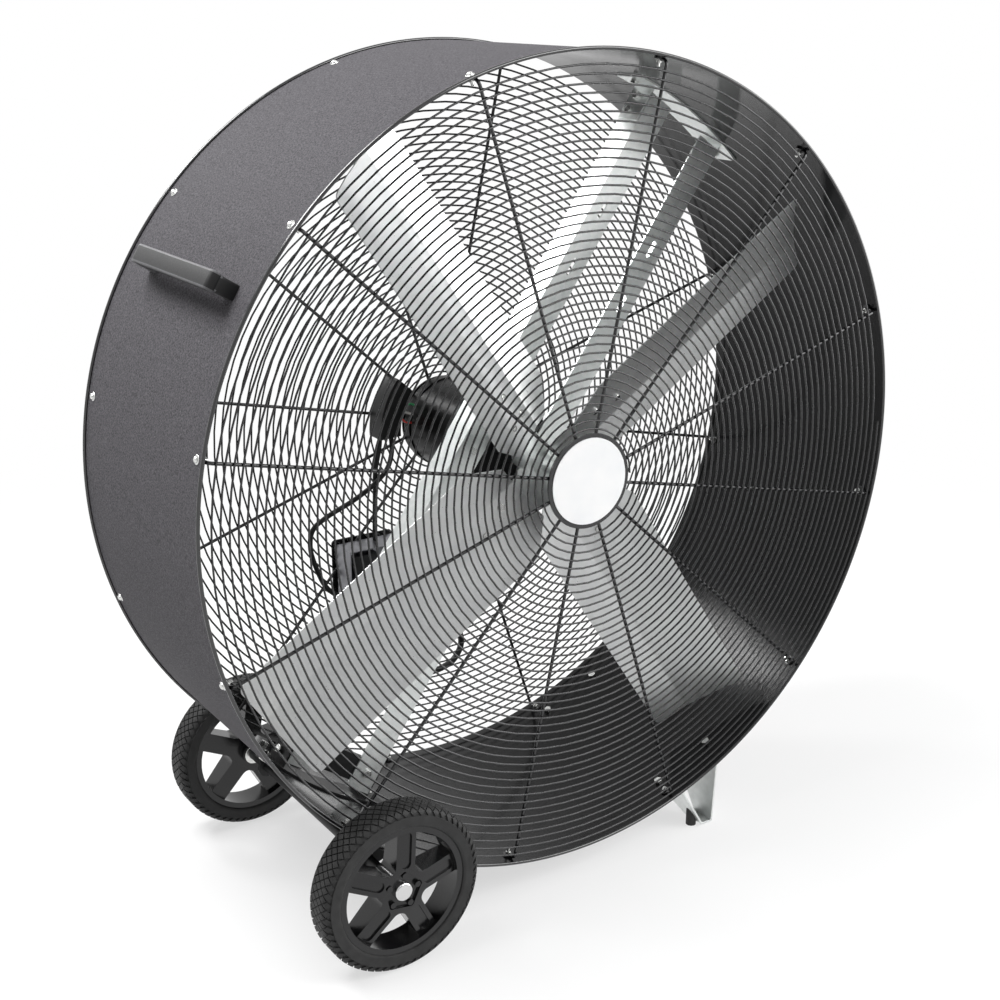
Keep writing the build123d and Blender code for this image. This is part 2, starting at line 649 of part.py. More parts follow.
HALF_CHORD = BLADE_CHORD / 2
BEND_FRONT = TRAILING_FLANGE - HALF_CHORD
BEND_REAR = HALF_CHORD - LEADING_FLANGE
PITCH_SLOPE = BLADE_RISE / BLADE_CHORD
SECTION = [
    (-HALF_CHORD, -BLADE_RISE / 2),
    (BEND_FRONT, BEND_FRONT * PITCH_SLOPE + CAMBER_REAR),
    (BEND_REAR, BEND_REAR * PITCH_SLOPE + CAMBER_FRONT),
    (HALF_CHORD, BLADE_RISE / 2),
]
FACET_RUN = SECTION[2][0] - SECTION[1][0]
FACET_RISE = SECTION[2][1] - SECTION[1][1]
FACET = hypot(FACET_RUN, FACET_RISE)
FACET_MID = ((SECTION[1][0] + SECTION[2][0]) / 2, (SECTION[1][1] + SECTION[2][1]) / 2)
FACET_ALONG = (FACET_RUN / FACET, FACET_RISE / FACET)
FACET_UP = (-FACET_ALONG[1], FACET_ALONG[0])


def facet_point(along, out):
    """A point of the blade's section, along its middle facet and out from it."""
    x = FACET_MID[0] + FACET_ALONG[0] * along + FACET_UP[0] * out
    y = FACET_MID[1] + FACET_ALONG[1] * along + FACET_UP[1] * out
    return (x, y)


def rivet_spots(angle):
    """The blade's three rivets, as planes on the middle facet's centre that face the arm."""
    section = radial_plane(angle, 0, BLADE_Y)
    facing = section.from_local_coords((*FACET_UP, 0)) - section.origin
    planes = []
    for reach, along in ((RIVET_INNER, -RIVET_SPREAD), (RIVET_INNER, RIVET_SPREAD), (RIVET_OUTER, 0)):
        place = section.from_local_coords((*facet_point(along, 0), reach))
        planes.append(Plane(origin=place, z_dir=facing))
    return planes


with BuildPart() as fan_hub:
    with BuildSketch(front_plane(HUB_REAR_Y)):
        Circle(HUB_D / 2)
    extrude(amount=HUB_REAR_Y - HUB_FRONT_Y)
    for angle in BLADE_ANGLES:
        with BuildSketch(radial_plane(angle, SHAFT_D / 2, BLADE_Y)):
            strip([facet_point(-ARM_WIDTH / 2, (BLADE_T + ARM_T) / 2),
                   facet_point(ARM_WIDTH / 2, (BLADE_T + ARM_T) / 2)], ARM_T)
        extrude(amount=ARM_REACH - SHAFT_D / 2)
        for spot in rivet_spots(angle):
            rod(spot, RIVET_D, BLADE_T + ARM_T, Mode.SUBTRACT)
    with BuildSketch(front_plane(HUB_REAR_Y)):
        Circle(SHAFT_D / 2)
    extrude(amount=HUB_REAR_Y - HUB_FRONT_Y, mode=Mode.SUBTRACT)
fan_hub.part.label = "fan_hub"
export_step(fan_hub.part, "parts/fan_hub.step")

for number, angle in enumerate(BLADE_ANGLES, 1):
    with BuildPart() as blade:
        with BuildSketch(radial_plane(angle, BLADE_ROOT, BLADE_Y)):
            strip(SECTION, BLADE_T)
        extrude(amount=BLADE_TIP - BLADE_ROOT)
        with BuildSketch(polar_plane(angle, BLADE_Y)):
            with BuildLine():
                Polyline(
                    (-BLADE_ROOT_WIDTH / 2, BLADE_ROOT), (BLADE_ROOT_WIDTH / 2, BLADE_ROOT),
                    (HALF_CHORD, BLADE_FULL), (HALF_CHORD, BLADE_TIP),
                    (-HALF_CHORD, BLADE_TIP), (-HALF_CHORD, BLADE_FULL), close=True,
                )
            outline = make_face()
            fillet(outline.vertices().filter_by(lambda v: abs(v.X) > 0 and v.Y > BLADE_FULL + 1),
                   BLADE_TIP_ROUND)
        extrude(amount=BLADE_RISE, both=True, mode=Mode.INTERSECT)
        for spot in rivet_spots(angle):
            rod(spot.offset(-BLADE_T), RIVET_D, 2 * BLADE_T, Mode.SUBTRACT)
    blade.part.label = f"blade_{number}"
    export_step(blade.part, f"parts/blade_{number}.step")

with BuildPart() as blade_rivets:
    for angle in BLADE_ANGLES:
        for spot in rivet_spots(angle):
            rod(spot.offset(-BLADE_T / 2), RIVET_D, BLADE_T + ARM_T)
            rod(spot.offset(-BLADE_T / 2), RIVET_HEAD_D, -RIVET_HEAD_T)
            rod(spot.offset(BLADE_T / 2 + ARM_T), RIVET_HEAD_D, RIVET_HEAD_T)
blade_rivets.part.label = "blade_rivets"
export_step(blade_rivets.part, "parts/blade_rivets.step")

with BuildPart() as hub_bolt:
    with BuildSketch(front_plane(HUB_FRONT_Y)):
        Circle(0.75 * HUB_BOLT_D)
    extrude(amount=STRUT_T)
    with BuildSketch(front_plane(HUB_FRONT_Y - STRUT_T)):
        RegularPolygon(HUB_BOLT_D / 2, 6)
    extrude(amount=HUB_BOLT_T)
hub_bolt.part.label = "hub_bolt"
export_step(hub_bolt.part, "parts/hub_bolt.step")


# The axle under the drum, its two brackets, and the wheels
def wheel_plane(y, turn=0.0):
    """A plane across the axle that faces the front, turned about the axle."""
    return Plane(origin=(-WHEEL_SIDE, y, WHEEL_R), x_dir=(cos(radians(turn)), 0, -sin(radians(turn))),
                 z_dir=(0, -1, 0))


with BuildPart() as axle:
    with BuildSketch(wheel_plane(AXLE_END_Y)):
        Circle(AXLE_D / 2)
    extrude(amount=2 * AXLE_END_Y)
axle.part.label = "axle"
export_step(axle.part, "parts/axle.step")

for name, side in (("front", -1), ("rear", 1)):
    with BuildPart() as axle_bracket:
        with BuildSketch(polar_plane(AXLE_ANGLE, side * AXLE_LUG_Y)):
            with BuildLine():
                Polyline(
                    (-AXLE_LUG_BASE, SHELL_IN), (-AXLE_LUG_BASE, SEAT_R + LUG_FLANGE_T),
                    (-AXLE_LUG_R, AXLE_REACH), (AXLE_LUG_R, AXLE_REACH),
                    (AXLE_LUG_BASE, SEAT_R + LUG_FLANGE_T), (AXLE_LUG_BASE, SHELL_IN), close=True,
                )
            make_face()
            with Locations((0, AXLE_REACH)):
                Circle(AXLE_LUG_R)
        extrude(amount=AXLE_LUG_T / 2, both=True)
        with BuildSketch(front_plane(side * AXLE_LUG_Y)):
            sector(SHELL_IN, SEAT_R + LUG_FLANGE_T, AXLE_ANGLE - LUG_FLANGE_SPAN,
                   AXLE_ANGLE + LUG_FLANGE_SPAN)
        extrude(amount=side * (LUG_FLANGE_Y + AXLE_LUG_T / 2))
        with BuildSketch(front_plane(side * AXLE_LUG_Y)):
            Circle(SEAT_R)
        extrude(amount=2 * LUG_FLANGE_Y, both=True, mode=Mode.SUBTRACT)
        with BuildSketch(wheel_plane(side * AXLE_LUG_Y)):
            Circle(AXLE_D / 2)
        extrude(amount=AXLE_LUG_T, both=True, mode=Mode.SUBTRACT)
        for hole_angle, hole_y in LUG_BOLTS:
            rod(radial_plane(hole_angle, SHELL_OUT - 2, hole_y), BOLT_D + 0.6, 14, Mode.SUBTRACT)
    axle_bracket.part.label = f"{name}_axle_bracket"
    export_step(axle_bracket.part, f"parts/{name}_axle_bracket.step")

with BuildPart() as axle_bracket_bolts:
    for angle, y in LUG_BOLTS:
        hex_bolt(radial_plane(angle, SEAT_R + LUG_FLANGE_T + 0.3, y), BOLT_D,
                 SEAT_R + LUG_FLANGE_T + 0.5 - SHELL_IN, BOLT_HEAD_D, BOLT_HEAD_T)
axle_bracket_bolts.part.label = "axle_bracket_bolts"
export_step(axle_bracket_bolts.part, "parts/axle_bracket_bolts.step")

WASHER_Y = WHEEL_MID_Y - HUB_BACK - SEAT_GAP

with BuildPart() as axle_washers:
    for side in (-1, 1):
        with BuildSketch(wheel_plane(side * WASHER_Y)):
            Circle(WASHER_R)
            Circle(AXLE_D / 2, mode=Mode.SUBTRACT)
        extrude(amount=side * WASHER_T)
axle_washers.part.label = "axle_washers"
export_step(axle_washers.part, "parts/axle_washers.step")

CAP_Y = WHEEL_MID_Y + HUB_FACE + SEAT_GAP
CAP_WALL = 1.5

with BuildPart() as axle_caps:
    for side in (-1, 1):
        with BuildSketch(wheel_plane(side * CAP_Y)):
            Circle(CAP_R)
        extrude(amount=-side * (AXLE_END_Y - CAP_Y + CAP_WALL))
        with BuildSketch(wheel_plane(side * CAP_Y)):
            Circle(AXLE_D / 2)
        extrude(amount=-side * (AXLE_END_Y - CAP_Y), mode=Mode.SUBTRACT)
    fillet(axle_caps.edges().filter_by(GeomType.CIRCLE).sort_by(Axis.Y)[0], 3)
    fillet(axle_caps.edges().filter_by(GeomType.CIRCLE).sort_by(Axis.Y)[-1], 3)
axle_caps.part.label = "axle_caps"
export_step(axle_caps.part, "parts/axle_caps.step")

BEAD_SEAT = RIM_R + 5.0
STAR_ANGLE = 90 - WHEEL_SPOKE_ANGLE
FACE_TILT = atan2(FACE_AT_HUB - FACE_AT_RING, RIM_R - RIM_RING - STAR_R)
FACE_PEAK = FACE_AT_HUB + STAR_R * tan(FACE_TILT)


def axle_section(y, side):
    """A plane through the axle: sketch x is outwards from the drum and sketch y is radial."""
    return Plane(origin=(-WHEEL_SIDE, y, WHEEL_R), x_dir=(0, side, 0), z_dir=(side, 0, 0))


def spoke_face(y, side, number):
    """A plane on the sloping face of one wheel spoke: sketch x runs outwards along the spoke."""
    turn = radians(STAR_ANGLE + number * 360 / WHEEL_SPOKES)
    flat, steep = cos(FACE_TILT), sin(FACE_TILT)
    return Plane(origin=(-WHEEL_SIDE, y + side * FACE_PEAK, WHEEL_R),
                 x_dir=(flat * cos(turn), -side * steep, flat * sin(turn)),
                 z_dir=(steep * cos(turn), side * flat, steep * sin(turn)))


for name, side in (("front", -1), ("rear", 1)):
    middle = side * WHEEL_MID_Y
    with BuildPart() as tyre:
        with BuildSketch(axle_section(middle, side)):
            with BuildLine():
                Polyline(
                    (-RIM_WIDTH / 2, RIM_R), (RIM_WIDTH / 2, RIM_R), (WHEEL_WIDTH / 2, BEAD_SEAT),
                    (WHEEL_WIDTH / 2, WHEEL_R), (-WHEEL_WIDTH / 2, WHEEL_R),
                    (-WHEEL_WIDTH / 2, BEAD_SEAT), close=True,
                )
            outline = make_face()
            fillet(outline.vertices().group_by(Axis.Y)[-1], SHOULDER_R)
        revolve(axis=AXLE_AXIS)
    tyre.part.label = f"{name}_tyre"
    export_step(tyre.part, f"parts/{name}_tyre.step")

    with BuildPart() as wheel_rim:
        with BuildSketch(wheel_plane(middle)) as star:
            with PolarLocations((RIM_R - RIM_RING / 2) / 2, WHEEL_SPOKES, STAR_ANGLE):
                Rectangle(RIM_R - RIM_RING / 2, WHEEL_SPOKE_W)
            fillet(star.vertices().filter_by(lambda v: hypot(v.X, v.Y) < STAR_R), STAR_FILLET)
        extrude(amount=WHEEL_WIDTH, both=True)
        with BuildSketch(axle_section(middle, side)):
            with BuildLine():
                Polyline(
                    (-SPOKE_BACK, 0), (FACE_AT_HUB, 0), (FACE_AT_HUB, STAR_R),
                    (FACE_AT_RING, RIM_R - RIM_RING), (FACE_AT_RING, RIM_R), (-SPOKE_BACK, RIM_R),
                    close=True,
                )
            make_face()
        revolve(axis=AXLE_AXIS, mode=Mode.INTERSECT)
        with BuildSketch(wheel_plane(middle)):
            Circle(RIM_R)
            Circle(RIM_R - RIM_RING, mode=Mode.SUBTRACT)
        extrude(amount=RIM_WIDTH / 2, both=True)
        for number in range(WHEEL_SPOKES):
            with BuildSketch(spoke_face(middle, side, number).offset(-GROOVE_T)):
                with Locations(((STAR_R + RIM_R - RIM_RING) / 2, 0)):
                    SlotOverall(RIM_R - RIM_RING - STAR_R - GROOVE_T, GROOVE_W)
            extrude(amount=2 * GROOVE_T, mode=Mode.SUBTRACT)
        with BuildSketch(wheel_plane(middle + side * FACE_AT_HUB)) as recess:
            RegularPolygon(RECESS_R, WHEEL_SPOKES, rotation=STAR_ANGLE)
            fillet(recess.vertices(), RECESS_ROUND)
        extrude(amount=side * HUB_RECESS, mode=Mode.SUBTRACT)
        with BuildSketch(wheel_plane(middle + side * HUB_FACE)):
            with PolarLocations(STUD_REACH, WHEEL_SPOKES, STAR_ANGLE):
                Circle(STUD_R)
        extrude(amount=-side * STUD_T)
        with BuildSketch(wheel_plane(middle - side * HUB_BACK)):
            Circle(WHEEL_HUB_R)
        extrude(amount=-side * (HUB_BACK + HUB_FACE))
        with BuildSketch(wheel_plane(middle)):
            Circle(AXLE_D / 2 + RUNNING_GAP)
        extrude(amount=WHEEL_WIDTH, both=True, mode=Mode.SUBTRACT)
    wheel_rim.part.label = f"{name}_wheel_rim"
    export_step(wheel_rim.part, f"parts/{name}_wheel_rim.step")


# The carrying handle: a moulded grip bolted to the drum's side from inside
with BuildPart() as handle:
    with BuildSketch(lengthwise_plane(HANDLE_ANGLE)):
        with BuildLine():
            Polyline(
                (HANDLE_FRONT_Y, SHELL_IN), (HANDLE_FRONT_Y, SEAT_R + HANDLE_REACH),
                (HANDLE_REAR_Y, SEAT_R + HANDLE_REACH), (HANDLE_REAR_Y, SHELL_IN), close=True,
            )
        outline = make_face()
        top = outline.vertices().filter_by(lambda v: v.Y > SEAT_R)
        fillet(top.sort_by(Axis.X)[0], HANDLE_FRONT_ROUND)
        far_top = outline.vertices().filter_by(lambda v: v.Y > SEAT_R).sort_by(Axis.X)[-1]
        fillet(far_top, HANDLE_REAR_ROUND)
    extrude(amount=HANDLE_WIDTH / 2, both=True)
    with BuildSketch(lengthwise_plane(HANDLE_ANGLE)):
        with Locations(((HANDLE_FRONT_Y + HANDLE_REAR_Y) / 2, SEAT_R + (HANDLE_REACH - HANDLE_GRIP) / 2 - 6)):
            RectangleRounded(HANDLE_REAR_Y - HANDLE_FRONT_Y - 2 * HANDLE_FOOT,
                             HANDLE_REACH - HANDLE_GRIP + 12, 10)
    extrude(amount=HANDLE_WIDTH, both=True, mode=Mode.SUBTRACT)
    with BuildSketch(front_plane(HALF_DEPTH)):
        Circle(SEAT_R)
    extrude(amount=DRUM_DEPTH, mode=Mode.SUBTRACT)
    for y in HANDLE_BOLTS_Y:
        rod(radial_plane(HANDLE_ANGLE, SHELL_IN, y), HANDLE_BOLT_D + 0.2,
            SEAT_R - SHELL_IN + HANDLE_BOLT_DEPTH + 1, Mode.SUBTRACT)
handle.part.label = "handle"
export_step(handle.part, "parts/handle.step")

with BuildPart() as handle_bolts:
    for y in HANDLE_BOLTS_Y:
        rod(radial_plane(HANDLE_ANGLE, SHELL_IN - 0.2, y), 2.2 * HANDLE_BOLT_D, -0.7 * HANDLE_BOLT_D)
        rod(radial_plane(HANDLE_ANGLE, SHELL_IN - 0.2, y), HANDLE_BOLT_D,
            SEAT_R - SHELL_IN + HANDLE_BOLT_DEPTH)
handle_bolts.part.label = "handle_bolts"
export_step(handle_bolts.part, "parts/handle_bolts.step")


# The feet: a bent strip under each end of the drum with a rubber pad that meets the floor
FOOT_SEAT = SEAT_R + FOOT_T / 2


def foot_seat(angle, along):
    """A point of the foot's section on the drum's tangent at the angle, up along the drum."""
    turn = radians(angle)
    return (FOOT_SEAT * sin(turn) - along * cos(turn), FOOT_SEAT * cos(turn) + along * sin(turn))


FOOT_TOE = FOOT_TOE_UP - AXIS_UP
FOOT_TOE_LEFT = foot_seat(FOOT_ANGLES[0], 0)[0] + FOOT_TOE_SET
FOOT_LINE = [
    foot_seat(FOOT_ANGLES[0], -FOOT_FLANGE),
    foot_seat(FOOT_ANGLES[0], FOOT_FLANGE),
    (FOOT_TOE_LEFT, FOOT_TOE),
    (FOOT_TOE_LEFT + FOOT_TOE_FLAT, FOOT_TOE),
    foot_seat(FOOT_ANGLES[1], -FOOT_FLANGE),
    foot_seat(FOOT_ANGLES[1], FOOT_FLANGE),
]

for name, side in (("front", -1), ("rear", 1)):
    with BuildPart() as foot_bracket:
        with BuildSketch(front_plane(side * FOOT_MID_Y)):
            strip(FOOT_LINE, FOOT_T)
        extrude(amount=FOOT_WIDTH / 2, both=True)
        with BuildSketch(Plane(origin=(0, side * FOOT_OUT_Y, 0), x_dir=(0, -side, 0), z_dir=(-side, 0, 0))):
            with BuildLine():
                Polyline(
                    (0, 0), (FOOT_TIP_WIDTH, 0), (FOOT_WIDTH, FOOT_TIP_RISE),
                    (FOOT_WIDTH, AXIS_UP), (0, AXIS_UP), close=True,
                )
            outline = make_face()
            fillet(outline.vertices().filter_by(lambda v: v.Y < 1), 4)
        extrude(amount=-side * DRUM_R, mode=Mode.INTERSECT)
        for hole_angle, hole_y in FOOT_BOLTS:
            rod(radial_plane(hole_angle, SHELL_OUT - 2, hole_y), BOLT_D + 0.6, 14, Mode.SUBTRACT)
        rod(radial_plane(FOOT_SCREW_ANGLE, SHELL_OUT - 2, side * SCREW_Y), GUARD_SCREW_D + 0.6, 14,
            Mode.SUBTRACT)
    foot_bracket.part.label = f"{name}_foot_bracket"
    export_step(foot_bracket.part, f"parts/{name}_foot_bracket.step")

    with BuildPart() as foot_pad:
        with BuildSketch(Plane.XY):
            with Locations((FOOT_TOE_LEFT - PAD_SET, side * (FOOT_OUT_Y - PAD_INSET))):
                Circle(PAD_R)
        extrude(amount=FOOT_TIP_RISE + 20)
        with BuildSketch(front_plane(side * (FOOT_OUT_Y - PAD_INSET))):
            with BuildLine():
                Polyline(FOOT_LINE[1], FOOT_LINE[2], (FOOT_TOE_LEFT, 0), (FOOT_LINE[1][0], 0), close=True)
            make_face()
            strip(FOOT_LINE[1:3], FOOT_T)
        extrude(amount=2 * PAD_R, both=True, mode=Mode.SUBTRACT)
    foot_pad.part.label = f"{name}_foot_pad"
    export_step(foot_pad.part, f"parts/{name}_foot_pad.step")

with BuildPart() as foot_bolts:
    for angle, y in FOOT_BOLTS:
        hex_bolt(radial_plane(angle, SEAT_R + FOOT_T, y), BOLT_D, SEAT_R + FOOT_T - SHELL_IN + 0.2,
                 BOLT_HEAD_D, BOLT_HEAD_T)
foot_bolts.part.label = "foot_bolts"
export_step(foot_bolts.part, "parts/foot_bolts.step")


# The speed switch: an open box inside the rear guard, a cover and knob outside it. Two cables
# come down to it from the wiring box.
LEAD_ANGLE = (WIRING_FROM + WIRING_TO) / 2
LEAD_HOLE_D = 20.0
CABLE_IN = 10.0
BOX_TOP = SWITCH_UP + SWITCH_SIZE / 2
BOX_LEFT = SWITCH_X - SWITCH_SIZE / 2
BOX_BACK_Y = SPOKE_FACE_Y - SEAT_GAP
CABLE_Y = BOX_BACK_Y - CABLE_INSET
LEAD_EXIT_Y = CABLE_Y - 7
STRAIGHT_DROP = [
    (-125, 2), (-127, -28), (-136, -62), (-137, -108), (-139, -154), (-139, BOX_TOP - CABLE_IN),
]
OUTER_DROP = [
    (-112, 2), (-108, -30), (-117, -62), (-146, -86), (-186, -106), (-226, -120), (-260, -138),
    (-264, -172), (-254, -206), (-240, -240), (-218, -262), (BOX_LEFT + CABLE_IN, -266),
]
CABLES = [
    (STRAIGHT_DROP, CABLE_Y + CABLE_CROSSING / 2), (OUTER_DROP, CABLE_Y - CABLE_CROSSING / 2),
]


def route_end(here, inwards, y):
    """A plane at one end of a cable's route that faces along the cable."""
    run = (inwards[0] - here[0], 0, inwards[1] - here[1])
    return Plane(origin=(here[0], y, AXIS_UP + here[1]), z_dir=run)


KNOB_AT = ring_gap(SWITCH_X - KNOB_LEFT, SWITCH_UP + KNOB_ABOVE)
SCREW_SET = SWITCH_SIZE / 2 - COVER_SCREW_INSET
SCREWS_AT = [
    ring_gap(SWITCH_X + dx * SCREW_SET, SWITCH_UP + dz * SCREW_SET) for dx in (-1, 1) for dz in (-1, 1)
]
COVER_SIZE = SWITCH_SIZE + 2 * COVER_LAP
COVER_BACK_Y = HALF_DEPTH + COVER_T

with BuildPart() as switch_box:
    with BuildSketch(front_plane(BOX_BACK_Y)):
        with Locations((SWITCH_X, SWITCH_UP)):
            Rectangle(SWITCH_SIZE, SWITCH_SIZE)
    extrude(amount=SWITCH_DEPTH)
    with BuildSketch(front_plane(BOX_BACK_Y - BOX_WALL)):
        with Locations((SWITCH_X, SWITCH_UP)):
            Rectangle(SWITCH_SIZE - 2 * BOX_WALL, SWITCH_SIZE - 2 * BOX_WALL)
    extrude(amount=SWITCH_DEPTH, mode=Mode.SUBTRACT)
    with BuildSketch(front_plane(BOX_BACK_Y)):
        with Locations(KNOB_AT):
            Circle(KNOB_SHAFT_D / 2 + RUNNING_GAP)
        with Locations(*SCREWS_AT):
            Circle(COVER_SCREW_D / 2 + 0.1)
    extrude(amount=BOX_WALL, mode=Mode.SUBTRACT)
    for route, y in CABLES:
        rod(route_end(route[-1], route[-2], y), CABLE_D + 1, 24, Mode.SUBTRACT)
switch_box.part.label = "switch_box"
export_step(switch_box.part, "parts/switch_box.step")

with BuildPart() as switch_body:
    with BuildSketch(front_plane(BOX_BACK_Y - BOX_WALL)):
        with Locations(KNOB_AT):
            Rectangle(SWITCH_BODY, SWITCH_BODY)
    extrude(amount=SWITCH_BODY_T)
    with BuildSketch(front_plane(BOX_BACK_Y - BOX_WALL)):
        with Locations(KNOB_AT):
            Circle(KNOB_SHAFT_D / 2 + RUNNING_GAP)
    extrude(amount=SWITCH_BODY_T / 2, mode=Mode.SUBTRACT)
switch_body.part.label = "switch_body"
export_step(switch_body.part, "parts/switch_body.step")

with BuildPart() as switch_cover:
    with BuildSketch(front_plane(COVER_BACK_Y)):
        with Locations((SWITCH_X, SWITCH_UP)):
            RectangleRounded(COVER_SIZE, COVER_SIZE, 6)
        with Locations(KNOB_AT):
            Circle(KNOB_SHAFT_D / 2 + RUNNING_GAP, mode=Mode.SUBTRACT)
        with Locations(*SCREWS_AT):
            Circle(COVER_SCREW_D / 2 + 0.1, mode=Mode.SUBTRACT)
    extrude(amount=COVER_T)
switch_cover.part.label = "switch_cover"
export_step(switch_cover.part, "parts/switch_cover.step")

with BuildPart() as switch_knob:
    with BuildSketch(front_plane(COVER_BACK_Y + SEAT_GAP)):
        with Locations(KNOB_AT):
            Circle(KNOB_R)
    extrude(amount=-KNOB_T / 2)
    with BuildSketch(front_plane(COVER_BACK_Y + SEAT_GAP)):
        with Locations(KNOB_AT):
            SlotOverall(2 * KNOB_R - 2, KNOB_R / 2, rotation=90)
    extrude(amount=-KNOB_T)
    with BuildSketch(front_plane(COVER_BACK_Y + SEAT_GAP)):
        with Locations(KNOB_AT):
            Circle(KNOB_SHAFT_D / 2)
    extrude(amount=COVER_BACK_Y + SEAT_GAP - BOX_BACK_Y + BOX_WALL + SWITCH_BODY_T / 2 - 1)
switch_knob.part.label = "switch_knob"
export_step(switch_knob.part, "parts/switch_knob.step")

with BuildPart() as switch_screws:
    for x, up in SCREWS_AT:
        seat = Plane(origin=(x, COVER_BACK_Y, AXIS_UP + up), z_dir=(0, 1, 0))
        rod(seat, 2 * COVER_SCREW_D, 0.6 * COVER_SCREW_D)
        rod(seat, COVER_SCREW_D, -(COVER_BACK_Y - BOX_BACK_Y + BOX_WALL + 3))
switch_screws.part.label = "switch_screws"
export_step(switch_screws.part, "parts/switch_screws.step")

with BuildPart() as supply_gland:
    with BuildSketch(Plane(origin=(SWITCH_X, COVER_BACK_Y, AXIS_UP + SWITCH_UP - COVER_SIZE / 4),
                           z_dir=(0, 1, 0))):
        Circle(GLAND_R)
        Circle(CABLE_D / 2, mode=Mode.SUBTRACT)
    extrude(amount=GLAND_LENGTH, taper=6)
supply_gland.part.label = "supply_gland"
export_step(supply_gland.part, "parts/supply_gland.step")


# The wiring box beside the motor, the motor's three leads and the two cables to the switch
WIRING_IN_R = BELL_R + WIRING_STAND_OFF
WIRING_OUT_R = WIRING_IN_R + WIRING_SPAN
WALL_ANGLE = degrees(WIRING_WALL / WIRING_OUT_R)

with BuildPart() as wiring_box:
    with BuildSketch(front_plane(BOX_BACK_Y)):
        sector(WIRING_IN_R, WIRING_OUT_R, WIRING_FROM, WIRING_TO)
    extrude(amount=WIRING_DEPTH)
    with BuildSketch(front_plane(BOX_BACK_Y - WIRING_WALL)):
        sector(WIRING_IN_R + WIRING_WALL, WIRING_OUT_R - WIRING_WALL, WIRING_FROM + 2 * WALL_ANGLE,
               WIRING_TO - 2 * WALL_ANGLE)
    extrude(amount=WIRING_DEPTH - 2 * WIRING_WALL, mode=Mode.SUBTRACT)
    rod(radial_plane(LEAD_ANGLE, MOTOR_R, LEAD_EXIT_Y), LEAD_HOLE_D, 30, Mode.SUBTRACT)
    for route, y in CABLES:
        rod(route_end(route[0], route[1], y), CABLE_D + 1, 24, Mode.SUBTRACT)
wiring_box.part.label = "wiring_box"
export_step(wiring_box.part, "parts/wiring_box.step")

with BuildPart() as motor_leads:
    for k in (-1, 0, 1):
        stops = ((MOTOR_R, 11 * k, 0), (85, 11 * k, 0), (93, 7 * k, -1), (103, 3 * k, -1),
                 (114, 3.5 * k, 2), (121, 6 * k, 10))
        points = [
            (*around(reach, LEAD_ANGLE + aside), LEAD_EXIT_Y + back) for reach, aside, back in stops
        ]
        lead_tube([(x, y, AXIS_UP + up) for x, up, y in points], LEAD_D)
motor_leads.part.label = "motor_leads"
export_step(motor_leads.part, "parts/motor_leads.step")

with BuildPart() as switch_cables:
    for route, y in CABLES:
        lead_tube([(x, y, AXIS_UP + up) for x, up in route], CABLE_D)
switch_cables.part.label = "switch_cables"
export_step(switch_cables.part, "parts/switch_cables.step")

HOOK_LINE = [(39, -392), (46, -424), (28, -452), (-2, -461), (-28, -462)]

with BuildPart() as cord_hook:
    lead_tube([(x, HALF_DEPTH + HOOK_D / 2, AXIS_UP + up) for x, up in HOOK_LINE], HOOK_D)
cord_hook.part.label = "cord_hook"
export_step(cord_hook.part, "parts/cord_hook.step")
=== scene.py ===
import json
from math import cos, pi, radians, sin

import bmesh
import bpy
from mathutils import Matrix, Vector

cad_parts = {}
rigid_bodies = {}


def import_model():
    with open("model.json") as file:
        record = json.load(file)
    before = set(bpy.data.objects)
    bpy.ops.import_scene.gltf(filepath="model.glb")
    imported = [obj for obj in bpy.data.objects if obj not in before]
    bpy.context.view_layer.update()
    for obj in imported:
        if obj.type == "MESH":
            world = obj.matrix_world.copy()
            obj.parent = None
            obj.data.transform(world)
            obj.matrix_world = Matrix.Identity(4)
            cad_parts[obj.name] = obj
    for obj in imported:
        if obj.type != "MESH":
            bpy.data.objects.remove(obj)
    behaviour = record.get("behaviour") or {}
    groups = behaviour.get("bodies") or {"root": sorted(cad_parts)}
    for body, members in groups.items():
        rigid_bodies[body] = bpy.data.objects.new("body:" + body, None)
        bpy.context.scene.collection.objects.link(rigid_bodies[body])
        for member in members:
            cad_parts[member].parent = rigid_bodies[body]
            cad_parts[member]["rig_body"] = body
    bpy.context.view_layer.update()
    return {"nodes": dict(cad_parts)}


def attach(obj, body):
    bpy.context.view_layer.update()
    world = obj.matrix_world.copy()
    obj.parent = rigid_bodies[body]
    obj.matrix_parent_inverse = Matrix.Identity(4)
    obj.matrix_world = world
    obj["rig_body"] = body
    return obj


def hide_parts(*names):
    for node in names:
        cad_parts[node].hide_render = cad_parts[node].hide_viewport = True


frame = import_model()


# View: the fan stands turned a little to the right and is seen from above its centre.
EYE = Vector((-1.305, -1.947, 1.346))
LOOK = Vector((0.5217, 0.7928, -0.3154))
SENSOR_MM = 36
LENS_MM = 56.22
SHIFT_X = 0.0038
SHIFT_Y = 0.0006

view = bpy.data.objects.new("view", bpy.data.cameras.new("view"))
view.location = EYE
view.rotation_euler = LOOK.to_track_quat("-Z", "Y").to_euler()
view.data.sensor_width = SENSOR_MM
view.data.lens = LENS_MM
view.data.shift_x = SHIFT_X
view.data.shift_y = SHIFT_Y
bpy.context.scene.collection.objects.link(view)
bpy.context.scene.camera = view
bpy.context.scene.view_settings.view_transform = "Standard"


